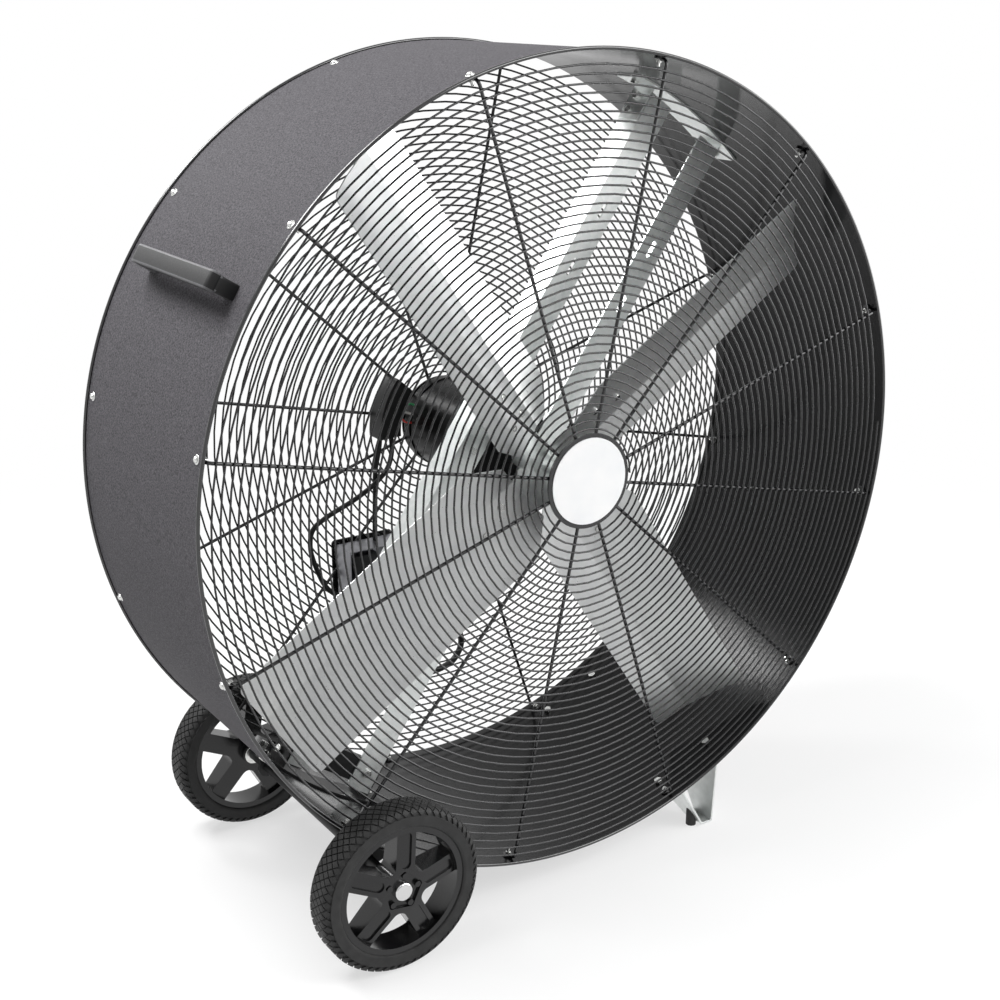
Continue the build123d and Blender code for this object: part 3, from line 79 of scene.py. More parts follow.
# Floor and light: a white studio sweep under soft lamps. The floor keeps the fan's own shadow and
# turns plain white further out. Polished metal mirrors a white sky, dimmer in front of the fan.
FLOOR_SIZE = 60.0
FLOOR_COLOUR = (0.82, 0.82, 0.82, 1)
FLOOR_ROUGHNESS = 0.9
WHITE_AT_FAN = 0.62
WHITE_IN_METAL = 0.90
SWEEP_START = 0.8
SWEEP_END = 2.4
SKY_LIGHT = 0.35
SKY_IN_FRONT = 0.55
SKY_FULL_FROM = 0.1
LAMPS = (
    # name, place, aim, size, power
    ("front_bank", (1.8, -2.6, 3.0), (0, 0, 0.6), 2.2, 90),
    ("overhead_left", (-1.6, 0.5, 3.6), (-0.3, 0, 0.9), 1.6, 150),
    ("rear_left", (-1.1, 2.7, 2.6), (0.3, 0, 0.4), 0.6, 34),
    ("right_bank", (3.0, -1.4, 1.3), (0, 0, 0.75), 2.4, 74),
)


def new_material(name):
    """A material with its Principled shader, and its node tree."""
    material = bpy.data.materials.new(name)
    material.use_nodes = True
    return material, material.node_tree, material.node_tree.nodes["Principled BSDF"]


floor_mesh = bmesh.new()
bmesh.ops.create_grid(floor_mesh, x_segments=1, y_segments=1, size=FLOOR_SIZE / 2)
floor_data = bpy.data.meshes.new("studio_floor")
floor_mesh.to_mesh(floor_data)
floor = bpy.data.objects.new("studio_floor", floor_data)
bpy.context.scene.collection.objects.link(floor)
floor_paint, tree, shader = new_material("studio_floor")
shader.inputs["Base Color"].default_value = FLOOR_COLOUR
shader.inputs["Roughness"].default_value = FLOOR_ROUGHNESS
white = tree.nodes.new("ShaderNodeEmission")
ray = tree.nodes.new("ShaderNodeLightPath")
mirrored = tree.nodes.new("ShaderNodeMath")
mirrored.operation = "MULTIPLY"
mirrored.inputs[1].default_value = WHITE_IN_METAL
place = tree.nodes.new("ShaderNodeTexCoord")
reach = tree.nodes.new("ShaderNodeVectorMath")
reach.operation = "LENGTH"
sweep = tree.nodes.new("ShaderNodeMapRange")
sweep.interpolation_type = "SMOOTHSTEP"
sweep.inputs["From Min"].default_value = SWEEP_START
sweep.inputs["From Max"].default_value = SWEEP_END
sweep.inputs["To Min"].default_value = WHITE_AT_FAN
looked_at = tree.nodes.new("ShaderNodeMath")
looked_at.operation = "MULTIPLY"
share = tree.nodes.new("ShaderNodeMath")
share.operation = "MAXIMUM"
blend = tree.nodes.new("ShaderNodeMixShader")
tree.links.new(ray.outputs["Is Camera Ray"], looked_at.inputs[0])
tree.links.new(ray.outputs["Is Glossy Ray"], mirrored.inputs[0])
tree.links.new(place.outputs["Object"], reach.inputs[0])
tree.links.new(reach.outputs["Value"], sweep.inputs["Value"])
tree.links.new(sweep.outputs["Result"], looked_at.inputs[1])
tree.links.new(looked_at.outputs[0], share.inputs[0])
tree.links.new(mirrored.outputs[0], share.inputs[1])
tree.links.new(share.outputs[0], blend.inputs["Fac"])
tree.links.new(shader.outputs[0], blend.inputs[1])
tree.links.new(white.outputs[0], blend.inputs[2])
tree.links.new(blend.outputs[0], tree.nodes["Material Output"].inputs["Surface"])
floor_data.materials.append(floor_paint)

sky = bpy.data.worlds.new("studio_sky")
sky.use_nodes = True
sky_nodes, sky_links = sky.node_tree.nodes, sky.node_tree.links
ray = sky_nodes.new("ShaderNodeLightPath")
direction = sky_nodes.new("ShaderNodeTexCoord")
split = sky_nodes.new("ShaderNodeSeparateXYZ")
ahead = sky_nodes.new("ShaderNodeMapRange")
ahead.inputs["From Min"].default_value = -1.0
ahead.inputs["From Max"].default_value = SKY_FULL_FROM
ahead.inputs["To Min"].default_value = SKY_IN_FRONT
mirrored = sky_nodes.new("ShaderNodeMapRange")
mirrored.inputs["To Min"].default_value = SKY_LIGHT
looked_at = sky_nodes.new("ShaderNodeMapRange")
sky_links.new(direction.outputs["Generated"], split.inputs[0])
sky_links.new(split.outputs["Y"], ahead.inputs["Value"])
sky_links.new(ray.outputs["Is Glossy Ray"], mirrored.inputs["Value"])
sky_links.new(ahead.outputs["Result"], mirrored.inputs["To Max"])
sky_links.new(ray.outputs["Is Camera Ray"], looked_at.inputs["Value"])
sky_links.new(mirrored.outputs["Result"], looked_at.inputs["To Min"])
sky_nodes["Background"].inputs["Color"].default_value = (1, 1, 1, 1)
sky_links.new(looked_at.outputs["Result"], sky_nodes["Background"].inputs["Strength"])
bpy.context.scene.world = sky

for name, place, aim, size, power in LAMPS:
    lamp = bpy.data.lights.new(name, "AREA")
    lamp.shape = "SQUARE"
    lamp.size = size
    lamp.energy = power
    lamp_object = bpy.data.objects.new(name, lamp)
    lamp_object.location = place
    lamp_object.rotation_euler = (Vector(aim) - Vector(place)).to_track_quat("-Z", "Y").to_euler()
    bpy.context.scene.collection.objects.link(lamp_object)


# Drum: steel sheet rolled into a ring, with a rolled bead at each rim. Outside it has a fine
# charcoal powder coat, inside a smooth black one that mirrors the guards, and glossy black beads.
AXIS_UP = 0.655
SHELL_IN = 0.6045
SHELL_OUT = 0.606
DRUM_HALF = 0.21
BEAD_R = 0.00275
BEAD_STEPS = 14
DRUM_STEPS = 288
CHARCOAL = (0.040, 0.038, 0.042, 1)
CHARCOAL_SPECK = (0.135, 0.131, 0.140, 1)
INNER_BLACK = (0.006, 0.006, 0.0065, 1)


def spin_about(mesh, parts, centre, steps, turn=2 * pi):
    """Spins parts about a line along Y, merged where the turn closes."""
    return bmesh.ops.spin(
        mesh, geom=parts, cent=centre, axis=(0, 1, 0), dvec=(0, 0, 0), angle=turn, steps=steps,
        use_merge=turn == 2 * pi, use_duplicate=False,
    )


def mark_sharp(mesh, angle):
    """Shades every face smooth and keeps the edges sharper than the angle crisp."""
    for face in mesh.faces:
        face.smooth = True
    for edge in mesh.edges:
        edge.smooth = len(edge.link_faces) == 2 and edge.calc_face_angle(0) < radians(angle)


def piece_from(mesh, name, materials):
    """An object at the origin that holds the finished mesh."""
    data = bpy.data.meshes.new(name)
    mesh.to_mesh(data)
    mesh.free()
    for material in materials:
        data.materials.append(material)
    piece = bpy.data.objects.new(name, data)
    bpy.context.scene.collection.objects.link(piece)
    return piece


def object_pattern(tree, kind, crowding=(1, 1, 1), **settings):
    """A texture node read in the piece's own coordinates, with its pattern crowded along the axes."""
    place = tree.nodes.new("ShaderNodeTexCoord")
    mapping = tree.nodes.new("ShaderNodeMapping")
    mapping.inputs["Scale"].default_value = crowding
    texture = tree.nodes.new(kind)
    for key, value in settings.items():
        texture.inputs[key.replace("_", " ")].default_value = value
    tree.links.new(place.outputs["Object"], mapping.inputs["Vector"])
    tree.links.new(mapping.outputs["Vector"], texture.inputs["Vector"])
    return texture


def bumped(tree, shader, height, distance, strength=1.0):
    """Lets a pattern raise the surface by up to a distance in metres."""
    bump = tree.nodes.new("ShaderNodeBump")
    bump.inputs["Distance"].default_value = distance
    bump.inputs["Strength"].default_value = strength
    tree.links.new(height, bump.inputs["Height"])
    tree.links.new(bump.outputs["Normal"], shader.inputs["Normal"])


def ranged(tree, value, low, high, target):
    """Feeds a pattern, spread between two values, into a shader socket."""
    spread = tree.nodes.new("ShaderNodeMapRange")
    spread.inputs["To Min"].default_value = low
    spread.inputs["To Max"].default_value = high
    tree.links.new(value, spread.inputs["Value"])
    tree.links.new(spread.outputs["Result"], target)


def tinted(tree, value, stops, target):
    """Feeds a pattern, coloured between two stops along it, into a shader socket."""
    ramp = tree.nodes.new("ShaderNodeValToRGB")
    for element, (position, colour) in zip(ramp.color_ramp.elements, stops):
        element.position = position
        element.color = colour
    tree.links.new(value, ramp.inputs["Fac"])
    tree.links.new(ramp.outputs["Color"], target)


powder_coat, tree, shader = new_material("charcoal_powder_coat")
grain = object_pattern(tree, "ShaderNodeTexNoise", Scale=420.0, Detail=4.0, Roughness=0.7)
tinted(tree, grain.outputs["Fac"], ((0.38, CHARCOAL), (0.70, CHARCOAL_SPECK)),
       shader.inputs["Base Color"])
ranged(tree, grain.outputs["Fac"], 0.60, 0.80, shader.inputs["Roughness"])
shader.inputs["Specular IOR Level"].default_value = 0.05
bumped(tree, shader, grain.outputs["Fac"], 0.0006, 0.5)

gloss_black, tree, shader = new_material("gloss_black_coat")
shader.inputs["Base Color"].default_value = INNER_BLACK
shader.inputs["Specular IOR Level"].default_value = 0.17
sag = object_pattern(tree, "ShaderNodeTexNoise", Scale=14.0, Detail=3.0)
ranged(tree, sag.outputs["Fac"], 0.09, 0.20, shader.inputs["Roughness"])
orange_peel = object_pattern(tree, "ShaderNodeTexNoise", Scale=160.0, Detail=2.0)
bumped(tree, shader, orange_peel.outputs["Fac"], 0.0004, 0.25)

bead_gloss, tree, shader = new_material("gloss_black_bead")
shader.inputs["Base Color"].default_value = INNER_BLACK
shader.inputs["Specular IOR Level"].default_value = 0.9
ripple = object_pattern(tree, "ShaderNodeTexNoise", Scale=40.0, Detail=3.0)
ranged(tree, ripple.outputs["Fac"], 0.10, 0.20, shader.inputs["Roughness"])

drum_mesh = bmesh.new()
centre = Vector((0, 0, AXIS_UP))
wall = bmesh.ops.create_grid(drum_mesh, x_segments=1, y_segments=1, size=0.5)["verts"]
bmesh.ops.scale(drum_mesh, vec=(SHELL_OUT - SHELL_IN, 2 * (DRUM_HALF - BEAD_R), 1), verts=wall)
bmesh.ops.translate(drum_mesh, vec=centre + Vector(((SHELL_IN + SHELL_OUT) / 2, 0, 0)), verts=wall)
bmesh.ops.delete(drum_mesh, geom=list(drum_mesh.faces), context="FACES_ONLY")
for side in (-1, 1):
    bead = bmesh.ops.create_circle(drum_mesh, segments=BEAD_STEPS, radius=BEAD_R)["verts"]
    bead_centre = Vector((SHELL_IN + BEAD_R, side * (DRUM_HALF - BEAD_R), 0))
    bmesh.ops.translate(drum_mesh, vec=centre + bead_centre, verts=bead)
spin_about(drum_mesh, drum_mesh.verts[:] + drum_mesh.edges[:], centre, DRUM_STEPS)
bmesh.ops.recalc_face_normals(drum_mesh, faces=drum_mesh.faces)
for face in drum_mesh.faces:
    outwards = (face.calc_center_median() - centre) * Vector((1, 0, 1))
    on_bead = abs(face.calc_center_median().y) > DRUM_HALF - 2 * BEAD_R
    if on_bead:
        face.material_index = 2
    elif face.normal.dot(outwards) < 0:
        face.material_index = 1
mark_sharp(drum_mesh, angle=50)
drum = piece_from(drum_mesh, "drum", [powder_coat, gloss_black, bead_gloss])
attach(drum, "frame")
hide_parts("drum_shell")


# Guards: black wire wound in a spiral and welded to round spokes, with a flat ring in the middle.
# The spokes' ends turn in along the drum and are screwed to it.
RING_START = 0.076
RING_PITCH = 0.01238
RING_TURNS = 42
RING_WIRE_R = 0.0015
RING_WIRE_SIDES = 8
RING_Y = DRUM_HALF - RING_WIRE_R
FIRST_HALF_STEPS = 16
MORE_STEPS_OUTSIDE = 28
WIRE_BLACK = (0.008, 0.008, 0.009, 1)


def dressed(node, materials, sharp=32, bevel=0.0, steps=2):
    """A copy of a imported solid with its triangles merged, its curves smooth and, where a bevel is
    asked for, its flats joined and its edges rounded. Edges past the sharp angle stay crisp."""
    source = frame["nodes"][node]
    mesh = bmesh.new()
    mesh.from_mesh(source.data)
    bmesh.ops.remove_doubles(mesh, verts=mesh.verts, dist=0.000002)
    if bevel:
        bmesh.ops.dissolve_limit(mesh, angle_limit=radians(1), verts=mesh.verts, edges=mesh.edges)
    mark_sharp(mesh, sharp)
    piece = piece_from(mesh, node + "_finished", materials)
    if bevel:
        edging = piece.modifiers.new("edging", "BEVEL")
        edging.width = bevel
        edging.segments = steps
        edging.limit_method = "ANGLE"
        edging.angle_limit = radians(sharp)
    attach(piece, source["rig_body"])
    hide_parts(node)
    return piece


wire_paint, tree, shader = new_material("black_wire_paint")
shader.inputs["Base Color"].default_value = WIRE_BLACK
shader.inputs["Specular IOR Level"].default_value = 0.65
drips = object_pattern(tree, "ShaderNodeTexNoise", Scale=60.0, Detail=2.0)
ranged(tree, drips.outputs["Fac"], 0.18, 0.34, shader.inputs["Roughness"])

for name, side in (("front", -1), ("rear", 1)):
    spiral = bmesh.new()
    bmesh.ops.create_circle(spiral, segments=RING_WIRE_SIDES, radius=RING_WIRE_R)
    bmesh.ops.translate(spiral, vec=(RING_START, side * RING_Y, AXIS_UP), verts=spiral.verts)
    section = spiral.verts[:] + spiral.edges[:]
    for half in range(2 * RING_TURNS):
        shift = RING_PITCH / 4 * (-1 if half % 2 == 0 else 1)
        steps = FIRST_HALF_STEPS + round(MORE_STEPS_OUTSIDE * half / (2 * RING_TURNS))
        swept = spin_about(spiral, section, (shift, side * RING_Y, AXIS_UP), steps, turn=-pi)
        section = swept["geom_last"]
    bmesh.ops.recalc_face_normals(spiral, faces=spiral.faces)
    mark_sharp(spiral, angle=60)
    guard_rings = piece_from(spiral, f"{name}_guard_rings", [wire_paint])
    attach(guard_rings, "frame")
    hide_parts(f"{name}_guard_spiral")
    dressed(f"{name}_guard_frame", [wire_paint], sharp=45)
    dressed(f"{name}_guard_plate", [wire_paint], sharp=30)


# Badge: a white printed disc on the front plate, left blank.
badge_white, tree, shader = new_material("white_badge")
clouding = object_pattern(tree, "ShaderNodeTexNoise", Scale=25.0, Detail=2.0)
tinted(tree, clouding.outputs["Fac"], ((0.3, (0.69, 0.70, 0.71, 1)), (0.7, (0.74, 0.74, 0.74, 1))),
       shader.inputs["Base Color"])
shader.inputs["Roughness"].default_value = 0.35
dressed("front_badge", [badge_white], sharp=30, bevel=0.0004)


# Fasteners: zinc-plated screws, bolts, nuts, rivets and washers. The guards' screws have domed
# heads on wide flanges, and one screw on each side also holds a foot's strip.
SCREW_Y = 0.187
FIRST_SCREW = 12.0
SCREW_COUNT = 12
SCREW_ON_FOOT = 5
STRIP_LIFT = 0.00345
SCREW_STEPS = 14
SCREW_PROFILE = (
    # out from the screw's own axis, up from its seat
    (0.0, 0.0046), (0.0018, 0.0045), (0.0034, 0.0039), (0.0043, 0.0028), (0.0046, 0.0013),
    (0.0064, 0.0011), (0.0068, 0.0007), (0.0068, 0.0001), (0.0025, 0.0001), (0.0025, -0.0140),
    (0.0, -0.0145),
)

zinc, tree, shader = new_material("zinc_plating")
shader.inputs["Metallic"].default_value = 1.0
plating = object_pattern(tree, "ShaderNodeTexNoise", Scale=300.0, Detail=3.0)
tinted(tree, plating.outputs["Fac"], ((0.3, (0.60, 0.61, 0.60, 1)), (0.7, (0.80, 0.80, 0.78, 1))),
       shader.inputs["Base Color"])
ranged(tree, plating.outputs["Fac"], 0.16, 0.32, shader.inputs["Roughness"])

screw_mesh = bmesh.new()
outline = [screw_mesh.verts.new((out, 0, up)) for out, up in SCREW_PROFILE]
outline_edges = [screw_mesh.edges.new(pair) for pair in zip(outline, outline[1:])]
bmesh.ops.spin(
    screw_mesh, geom=outline + outline_edges, cent=(0, 0, 0), axis=(0, 0, 1), dvec=(0, 0, 0),
    angle=2 * pi, steps=SCREW_STEPS, use_merge=True, use_duplicate=False,
)
screw = bpy.data.meshes.new("guard_flange_screw")
screw_mesh.to_mesh(screw)
screw_mesh.free()
screws_mesh = bmesh.new()
for number in range(SCREW_COUNT):
    turn = Matrix.Rotation(radians(FIRST_SCREW + number * 360 / SCREW_COUNT), 4, "Y")
    seat = SHELL_OUT + (STRIP_LIFT if number == SCREW_ON_FOOT else 0)
    for side in (-1, 1):
        placed = screw.copy()
        on_top = Matrix.Translation((0, side * SCREW_Y, seat))
        placed.transform(Matrix.Translation(centre) @ turn @ on_top)
        screws_mesh.from_mesh(placed)
        bpy.data.meshes.remove(placed)
bmesh.ops.remove_doubles(screws_mesh, verts=screws_mesh.verts, dist=0.00001)
bmesh.ops.recalc_face_normals(screws_mesh, faces=screws_mesh.faces)
mark_sharp(screws_mesh, angle=50)
guard_screws = piece_from(screws_mesh, "guard_flange_screws", [zinc])
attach(guard_screws, "frame")
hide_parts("guard_screws")

for node in ("guard_nuts", "strut_bolts", "motor_bolts", "axle_bracket_bolts", "handle_bolts",
             "foot_bolts", "switch_screws", "hub_bolt", "axle_washers"):
    dressed(node, [zinc], bevel=0.0005)
dressed("blade_rivets", [zinc], bevel=0.0018, steps=4)


# Struts: two galvanised steel angles with slots, held by curved saddles inside the drum. The upper
# saddle is galvanised, and the lower one and the brace between the struts are black.
galvanised, tree, shader = new_material("galvanised_steel")
shader.inputs["Metallic"].default_value = 0.85
spangle = object_pattern(tree, "ShaderNodeTexVoronoi", Scale=130.0)
tinted(tree, spangle.outputs["Color"], ((0.2, (0.80, 0.83, 0.82, 1)), (0.8, (0.88, 0.90, 0.89, 1))),
       shader.inputs["Base Color"])
ranged(tree, spangle.outputs["Color"], 0.28, 0.36, shader.inputs["Roughness"])

black_steel, tree, shader = new_material("satin_black_steel")
shader.inputs["Base Color"].default_value = (0.009, 0.009, 0.0095, 1)
shader.inputs["Specular IOR Level"].default_value = 0.35
coat = object_pattern(tree, "ShaderNodeTexNoise", Scale=400.0, Detail=3.0)
ranged(tree, coat.outputs["Fac"], 0.38, 0.55, shader.inputs["Roughness"])
bumped(tree, shader, coat.outputs["Fac"], 0.0003, 0.4)

for node in ("left_strut", "right_strut", "upper_strut_saddle"):
    dressed(node, [galvanised], bevel=0.0005)
for node in ("lower_strut_saddle", "lower_brace"):
    dressed(node, [black_steel], bevel=0.0005)


# Motor: a black enclosed motor with a bell at each end, bolted behind the struts.
motor_paint, tree, shader = new_material("black_motor_paint")
shader.inputs["Base Color"].default_value = (0.004, 0.004, 0.0045, 1)
shader.inputs["Specular IOR Level"].default_value = 0.12
casting = object_pattern(tree, "ShaderNodeTexNoise", Scale=220.0, Detail=4.0)
ranged(tree, casting.outputs["Fac"], 0.22, 0.36, shader.inputs["Roughness"])
bumped(tree, shader, casting.outputs["Fac"], 0.0004, 0.4)

laminations, tree, shader = new_material("stacked_laminations")
shader.inputs["Metallic"].default_value = 0.8
stack = object_pattern(tree, "ShaderNodeTexWave", Scale=160.0, Distortion=0.2)
tree.nodes["Wave Texture"].bands_direction = "Y"
tinted(tree, stack.outputs["Fac"], ((0.2, (0.16, 0.16, 0.17, 1)), (0.8, (0.36, 0.36, 0.37, 1))),
       shader.inputs["Base Color"])
shader.inputs["Roughness"].default_value = 0.5

ground_steel, tree, shader = new_material("ground_steel")
shader.inputs["Metallic"].default_value = 1.0
turning = object_pattern(tree, "ShaderNodeTexNoise", crowding=(1, 40, 1), Scale=30.0, Detail=3.0)
tinted(tree, turning.outputs["Fac"], ((0.3, (0.45, 0.45, 0.45, 1)), (0.7, (0.66, 0.66, 0.66, 1))),
       shader.inputs["Base Color"])
ranged(tree, turning.outputs["Fac"], 0.20, 0.38, shader.inputs["Roughness"])

for node in ("motor_frame", "motor_front_bell", "motor_rear_bell"):
    dressed(node, [motor_paint], bevel=0.0006)
for node in ("motor_stator", "rotor_core"):
    dressed(node, [laminations])
for node in ("motor_bearings", "motor_shaft"):
    dressed(node, [ground_steel])


# Blades: plain aluminium sheet, bent along two lines and riveted to the hub's steel arms.
blade_sheet, tree, shader = new_material("blade_sheet")
shader.inputs["Metallic"].default_value = 0.8
rolling = object_pattern(tree, "ShaderNodeTexNoise", Scale=9.0, Detail=5.0, Roughness=0.6)
tinted(tree, rolling.outputs["Fac"], ((0.25, (0.68, 0.69, 0.70, 1)), (0.75, (0.82, 0.83, 0.82, 1))),
       shader.inputs["Base Color"])
mill_grain = object_pattern(tree, "ShaderNodeTexNoise", Scale=260.0, Detail=3.0)
ranged(tree, mill_grain.outputs["Fac"], 0.24, 0.36, shader.inputs["Roughness"])

for node in ("blade_1", "blade_2", "blade_3", "blade_4"):
    dressed(node, [blade_sheet], sharp=12, bevel=0.0003)
dressed("fan_hub", [galvanised], bevel=0.0005)


# Axle and brackets: a black steel rod through two lugs that are bolted under the drum. A chromed
# cap is pushed on to each of its ends.
for node in ("axle", "front_axle_bracket", "rear_axle_bracket"):
    dressed(node, [black_steel], bevel=0.0005)

chrome, tree, shader = new_material("chrome_cap")
shader.inputs["Base Color"].default_value = (0.66, 0.66, 0.66, 1)
shader.inputs["Metallic"].default_value = 1.0
wipe = object_pattern(tree, "ShaderNodeTexNoise", Scale=90.0)
ranged(tree, wipe.outputs["Fac"], 0.05, 0.16, shader.inputs["Roughness"])
bumped(tree, shader, wipe.outputs["Fac"], 0.002, 0.8)
dressed("axle_caps", [chrome], sharp=45)


# Wheels: black moulded rims with five spokes, and solid rubber tyres whose tread is a lattice of
# diamonds that runs on over the shoulders.
WHEEL_X = -0.36
WHEEL_R = 0.127
WHEEL_MID = 0.25
TREAD_FLAT = 0.014
SHOULDER_R = 0.011
SHOULDER_ARC = 84.0
SHOULDER_STEPS = 5
TYRE_STEPS = 120
TREAD_DEPTH = 0.0022
TREAD_PITCHES = 60
LUG_LONG = 2 * pi * WHEEL_R / TREAD_PITCHES
LUG_WIDE = 0.016
LUG_SHARE = 0.87
LUG_TAPER = 0.93
LUG_ROOT = TREAD_DEPTH / 3
LUG_ROWS = range(-3, 4)
SIDEWALL = (
    # across from the wheel's middle, out from its centre
    (-0.0215, 0.0990), (-0.0238, 0.1000), (-0.0249, 0.1020), (-0.0250, 0.1050), (-0.0250, 0.1158),
)

rim_plastic, tree, shader = new_material("black_rim_plastic")
shader.inputs["Base Color"].default_value = (0.004, 0.004, 0.0045, 1)
shader.inputs["Specular IOR Level"].default_value = 0.5
moulding = object_pattern(tree, "ShaderNodeTexNoise", Scale=500.0, Detail=2.0)
ranged(tree, moulding.outputs["Fac"], 0.16, 0.28, shader.inputs["Roughness"])
bumped(tree, shader, moulding.outputs["Fac"], 0.0002, 0.4)

tyre_rubber, tree, shader = new_material("tyre_rubber")
shader.inputs["Specular IOR Level"].default_value = 0.3
dust = object_pattern(tree, "ShaderNodeTexNoise", Scale=70.0, Detail=5.0)
tinted(tree, dust.outputs["Fac"], ((0.3, (0.014, 0.014, 0.014, 1)), (0.75, (0.028, 0.028, 0.028, 1))),
       shader.inputs["Base Color"])
ranged(tree, dust.outputs["Fac"], 0.50, 0.70, shader.inputs["Roughness"])
rubber_grain = object_pattern(tree, "ShaderNodeTexNoise", Scale=900.0, Detail=2.0)
bumped(tree, shader, rubber_grain.outputs["Fac"], 0.0003, 0.4)


def on_tread(along, across, lift):
    """A tread point from the wheel's centre: a run round it, a run across it, a lift off the grooves."""
    side = 1 if across > 0 else -1
    over = max(abs(across) - TREAD_FLAT, 0) / SHOULDER_R
    bend = SHOULDER_R - TREAD_DEPTH + lift
    reach = WHEEL_R - SHOULDER_R + bend * cos(over)
    sideways = side * (min(abs(across), TREAD_FLAT) + bend * sin(over))
    return Vector((reach * sin(along / WHEEL_R), sideways, reach * cos(along / WHEEL_R)))


for name, side in (("front", -1), ("rear", 1)):
    tyre_mesh = bmesh.new()
    hub_centre = Vector((WHEEL_X, side * WHEEL_MID, WHEEL_R))
    half = [Vector((0, across, out)) for across, out in SIDEWALL]
    half += [
        on_tread(0, -TREAD_FLAT - SHOULDER_R * radians(SHOULDER_ARC) * (1 - step / SHOULDER_STEPS), 0)
        for step in range(SHOULDER_STEPS + 1)
    ]
    other_half = [place * Vector((1, -1, 1)) for place in reversed(half)]
    profile = [tyre_mesh.verts.new(hub_centre + place) for place in half + other_half]
    for here, there in zip(profile, profile[1:] + profile[:1]):
        tyre_mesh.edges.new((here, there))
    spin_about(tyre_mesh, tyre_mesh.verts[:] + tyre_mesh.edges[:], hub_centre, TYRE_STEPS)
    bmesh.ops.recalc_face_normals(tyre_mesh, faces=tyre_mesh.faces)
    for row in LUG_ROWS:
        lugs = bmesh.new()
        bmesh.ops.create_cube(lugs, size=1)
        level_edges = [edge for edge in lugs.edges if edge.verts[0].co.z * edge.verts[1].co.z > 0]
        bmesh.ops.subdivide_edges(lugs, edges=level_edges, cuts=3, use_grid_fill=True)
        eighth_turn = Matrix.Rotation(radians(45), 3, "Z")
        bmesh.ops.rotate(lugs, cent=(0, 0, 0), matrix=eighth_turn, verts=lugs.verts)
        top = [vert for vert in lugs.verts if vert.co.z > 0]
        bmesh.ops.scale(lugs, vec=(LUG_TAPER, LUG_TAPER, 1), verts=top)
        half_diagonal = LUG_SHARE / 2 ** 0.5
        bmesh.ops.scale(
            lugs, vec=(LUG_LONG * half_diagonal, LUG_WIDE * half_diagonal, 1), verts=lugs.verts,
        )
        for vert in lugs.verts:
            along = vert.co.x + row % 2 * LUG_LONG / 2
            lift = TREAD_DEPTH if vert.co.z > 0 else -LUG_ROOT
            vert.co = hub_centre + on_tread(along, row * LUG_WIDE / 2 + vert.co.y, lift)
        bmesh.ops.recalc_face_normals(lugs, faces=lugs.faces)
        bmesh.ops.spin(
            lugs, geom=lugs.faces[:], cent=hub_centre, axis=(0, 1, 0), dvec=(0, 0, 0),
            angle=2 * pi * (TREAD_PITCHES - 1) / TREAD_PITCHES, steps=TREAD_PITCHES - 1,
            use_merge=False, use_duplicate=True,
        )
        row_of_lugs = bpy.data.meshes.new("row_of_lugs")
        lugs.to_mesh(row_of_lugs)
        lugs.free()
        tyre_mesh.from_mesh(row_of_lugs)
        bpy.data.meshes.remove(row_of_lugs)
    mark_sharp(tyre_mesh, angle=34)
    tyre = piece_from(tyre_mesh, f"{name}_treaded_tyre", [tyre_rubber])
    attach(tyre, f"{name}_wheel")
    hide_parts(f"{name}_tyre")
    dressed(f"{name}_wheel_rim", [rim_plastic], sharp=25, bevel=0.0022, steps=3)


# Handle: a grey moulded grip along the drum's left side. It bends down to the drum at its rear end
# and stands on a block at its front end, and a bolt from inside holds each end. The block is coloured
# black: painted shade for the shadow under the grip's front end.
HANDLE_ANGLE = 302.0
GRIP_FRONT = -0.153
GRIP_REAR = 0.120
GRIP_REACH = 0.042
GRIP_THICK = 0.015
GRIP_UNDERSIDE = GRIP_REACH - GRIP_THICK
GRIP_WIDTH = 0.0265
GRIP_EDGE = 0.0038
LEG_FRONT = GRIP_REAR - 0.024
GRIP_OUTLINE = (
    # along the drum, off the drum, corner radius
    (GRIP_FRONT, GRIP_UNDERSIDE, 0.003), (GRIP_FRONT, GRIP_REACH, 0.006),
    (GRIP_REAR, GRIP_REACH, 0.034), (GRIP_REAR, 0.0, 0.0),
    (LEG_FRONT, 0.0, 0.0), (LEG_FRONT, GRIP_UNDERSIDE, 0.014),
)
# The block under the grip's front end is coloured black: painted shade for the grip's shadow there.
BLOCK_FRONT = -0.1545
BLOCK_REAR = BLOCK_FRONT + 0.026
BLOCK_TOP = GRIP_UNDERSIDE + 0.002
BLOCK_WIDTH = 0.022
BLOCK_EDGE = 0.003
BLOCK_OUTLINE = (
    (BLOCK_FRONT, 0.0, 0.0), (BLOCK_FRONT, BLOCK_TOP, 0.0),
    (BLOCK_REAR, BLOCK_TOP, 0.0), (BLOCK_REAR, 0.0, 0.0),
)
CORNER_STEPS = 10
EDGE_STEPS = 4


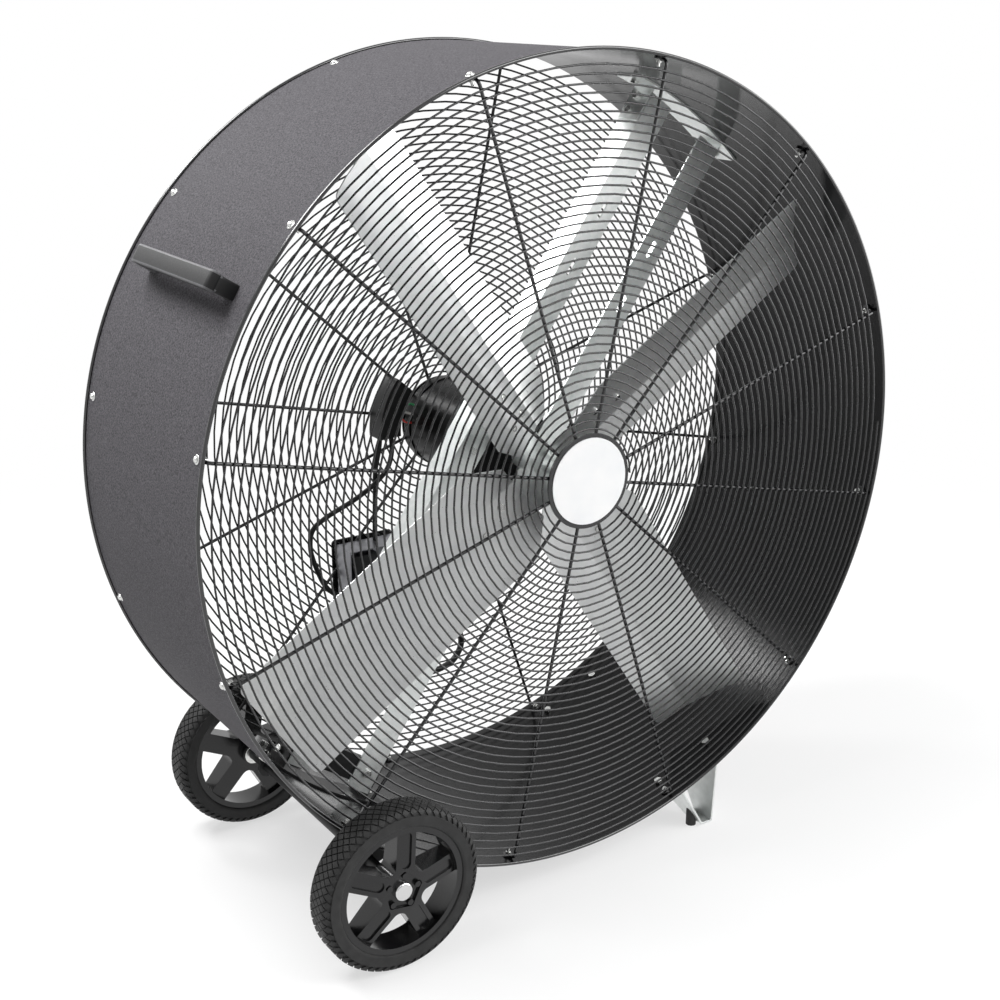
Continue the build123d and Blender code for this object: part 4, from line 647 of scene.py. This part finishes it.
def moulding_from(outline, width, edge_radius):
    """A flat outline with its corners rounded, given a width and rounded along its edges, apart
    from those that lie on the drum."""
    mesh = bmesh.new()
    corners = [mesh.verts.new((-width / 2, along, SHELL_OUT + off)) for along, off, _ in outline]
    mesh.faces.new(corners)
    for corner, (_, _, radius) in zip(corners, outline):
        if radius:
            bmesh.ops.bevel(
                mesh, geom=[corner], offset=radius, offset_type="OFFSET", segments=CORNER_STEPS,
                profile=0.5, affect="VERTICES", clamp_overlap=True, material=-1,
            )
    grown = bmesh.ops.extrude_face_region(mesh, geom=mesh.faces[:])["geom"]
    far_side = [part for part in grown if isinstance(part, bmesh.types.BMVert)]
    bmesh.ops.translate(mesh, vec=(width, 0, 0), verts=far_side)
    bmesh.ops.recalc_face_normals(mesh, faces=mesh.faces)
    corner_edges = [edge for edge in mesh.edges if edge.calc_face_angle(0) > radians(40)]
    on_drum = SHELL_OUT + 0.001
    free_edges = [edge for edge in corner_edges if max(vert.co.z for vert in edge.verts) > on_drum]
    bmesh.ops.bevel(
        mesh, geom=free_edges, offset=edge_radius, offset_type="OFFSET", segments=EDGE_STEPS,
        profile=0.5, affect="EDGES", clamp_overlap=True, material=-1,
    )
    return mesh


grip_plastic, tree, shader = new_material("grey_grip_plastic")
pebble = object_pattern(tree, "ShaderNodeTexNoise", Scale=420.0, Detail=3.0)
tinted(tree, pebble.outputs["Fac"], ((0.3, (0.070, 0.070, 0.074, 1)), (0.75, (0.115, 0.115, 0.12, 1))),
       shader.inputs["Base Color"])
shader.inputs["Roughness"].default_value = 0.5
shader.inputs["Specular IOR Level"].default_value = 0.35
bumped(tree, shader, pebble.outputs["Fac"], 0.0003, 0.5)

handle_mesh = moulding_from(GRIP_OUTLINE, GRIP_WIDTH, GRIP_EDGE)
shade_block_mesh = moulding_from(BLOCK_OUTLINE, BLOCK_WIDTH, BLOCK_EDGE)
shade_block_data = bpy.data.meshes.new("handle_shade_block")
shade_block_mesh.to_mesh(shade_block_data)
shade_block_mesh.free()
grip_faces = len(handle_mesh.faces)
handle_mesh.from_mesh(shade_block_data)
bpy.data.meshes.remove(shade_block_data)
handle_mesh.faces.ensure_lookup_table()
# The block's faces take the black coat: painted shade for the shadow under the grip's front end.
for face in handle_mesh.faces[grip_faces:]:
    face.material_index = 1
handle_place = Matrix.Translation(centre) @ Matrix.Rotation(radians(HANDLE_ANGLE), 4, "Y")
bmesh.ops.transform(handle_mesh, matrix=handle_place, verts=handle_mesh.verts)
bmesh.ops.recalc_face_normals(handle_mesh, faces=handle_mesh.faces)
mark_sharp(handle_mesh, angle=40)
handle = piece_from(handle_mesh, "carrying_handle", [grip_plastic, black_steel])
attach(handle, "frame")
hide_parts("handle")


# Feet: zinc-plated strips bent to a point, bolted under the drum, each with a black rubber pad.
pad_rubber, tree, shader = new_material("black_pad_rubber")
wear = object_pattern(tree, "ShaderNodeTexNoise", Scale=150.0, Detail=3.0)
tinted(tree, wear.outputs["Fac"], ((0.3, (0.012, 0.012, 0.012, 1)), (0.8, (0.03, 0.03, 0.03, 1))),
       shader.inputs["Base Color"])
shader.inputs["Roughness"].default_value = 0.7

strip_zinc, tree, shader = new_material("zinc_plated_strip")
shader.inputs["Metallic"].default_value = 0.8
bloom = object_pattern(tree, "ShaderNodeTexNoise", Scale=60.0, Detail=4.0)
tinted(tree, bloom.outputs["Fac"], ((0.3, (0.60, 0.62, 0.61, 1)), (0.7, (0.74, 0.76, 0.75, 1))),
       shader.inputs["Base Color"])
ranged(tree, bloom.outputs["Fac"], 0.38, 0.50, shader.inputs["Roughness"])
for name in ("front", "rear"):
    dressed(f"{name}_foot_bracket", [strip_zinc], bevel=0.0005)
    dressed(f"{name}_foot_pad", [pad_rubber], bevel=0.0008)


# Speed switch: a galvanised wall box inside the rear guard, with its cover and knob outside.
black_plastic, tree, shader = new_material("black_switch_plastic")
shader.inputs["Base Color"].default_value = (0.007, 0.007, 0.0075, 1)
shader.inputs["Specular IOR Level"].default_value = 0.35
flow = object_pattern(tree, "ShaderNodeTexNoise", Scale=260.0)
ranged(tree, flow.outputs["Fac"], 0.34, 0.50, shader.inputs["Roughness"])
# The box's zinc is coloured dark throughout: painted shade for the dark inside of the open box, with a
# random stain mottle.
zinc_painted_shade, tree, shader = new_material("zinc_box_painted_shade")
shader.inputs["Metallic"].default_value = 0.9
stain_and_shade = object_pattern(tree, "ShaderNodeTexNoise", Scale=45.0, Detail=4.0)
tinted(tree, stain_and_shade.outputs["Fac"], ((0.3, (0.20, 0.20, 0.22, 1)), (0.7, (0.36, 0.36, 0.38, 1))),
       shader.inputs["Base Color"])
ranged(tree, stain_and_shade.outputs["Fac"], 0.28, 0.44, shader.inputs["Roughness"])
dressed("switch_box", [zinc_painted_shade], bevel=0.0004)
dressed("switch_cover", [black_steel], bevel=0.0005)
for node in ("switch_body", "switch_knob", "supply_gland"):
    dressed(node, [black_plastic], bevel=0.0006)


# Wiring: a black housing beside the motor, the motor's coloured leads, two black cables down to
# the switch box, and a hook for the supply cord on the rear guard.
dressed("wiring_box", [black_plastic], bevel=0.0015)
dressed("cord_hook", [black_plastic], sharp=45)
dressed("switch_cables", [pad_rubber], sharp=45)

lead_colours = []
for name, colour in (("red_lead", (0.75, 0.03, 0.02, 1)), ("white_lead", (0.85, 0.85, 0.82, 1)),
                     ("green_lead", (0.02, 0.36, 0.12, 1))):
    insulation, tree, shader = new_material(name)
    sheen = object_pattern(tree, "ShaderNodeTexNoise", Scale=200.0)
    paler = tuple(0.8 * channel + 0.1 for channel in colour[:3]) + (1,)
    tinted(tree, sheen.outputs["Fac"], ((0.3, colour), (0.9, paler)), shader.inputs["Base Color"])
    shader.inputs["Roughness"].default_value = 0.35
    lead_colours.append(insulation)

# Each lead is an island of faces, and takes its colour by its height.
leads = dressed("motor_leads", lead_colours, sharp=45)
lead_mesh = bmesh.new()
lead_mesh.from_mesh(leads.data)
islands = []
unseen = set(lead_mesh.faces)
while unseen:
    queue = [unseen.pop()]
    island = list(queue)
    while queue:
        for edge in queue.pop().edges:
            for face in edge.link_faces:
                if face in unseen:
                    unseen.discard(face)
                    queue.append(face)
                    island.append(face)
    islands.append(island)
islands.sort(key=lambda faces: sum(face.calc_center_median().z for face in faces) / len(faces))
for number, island in enumerate(islands):
    for face in island:
        face.material_index = number % len(lead_colours)
lead_mesh.to_mesh(leads.data)
lead_mesh.free()
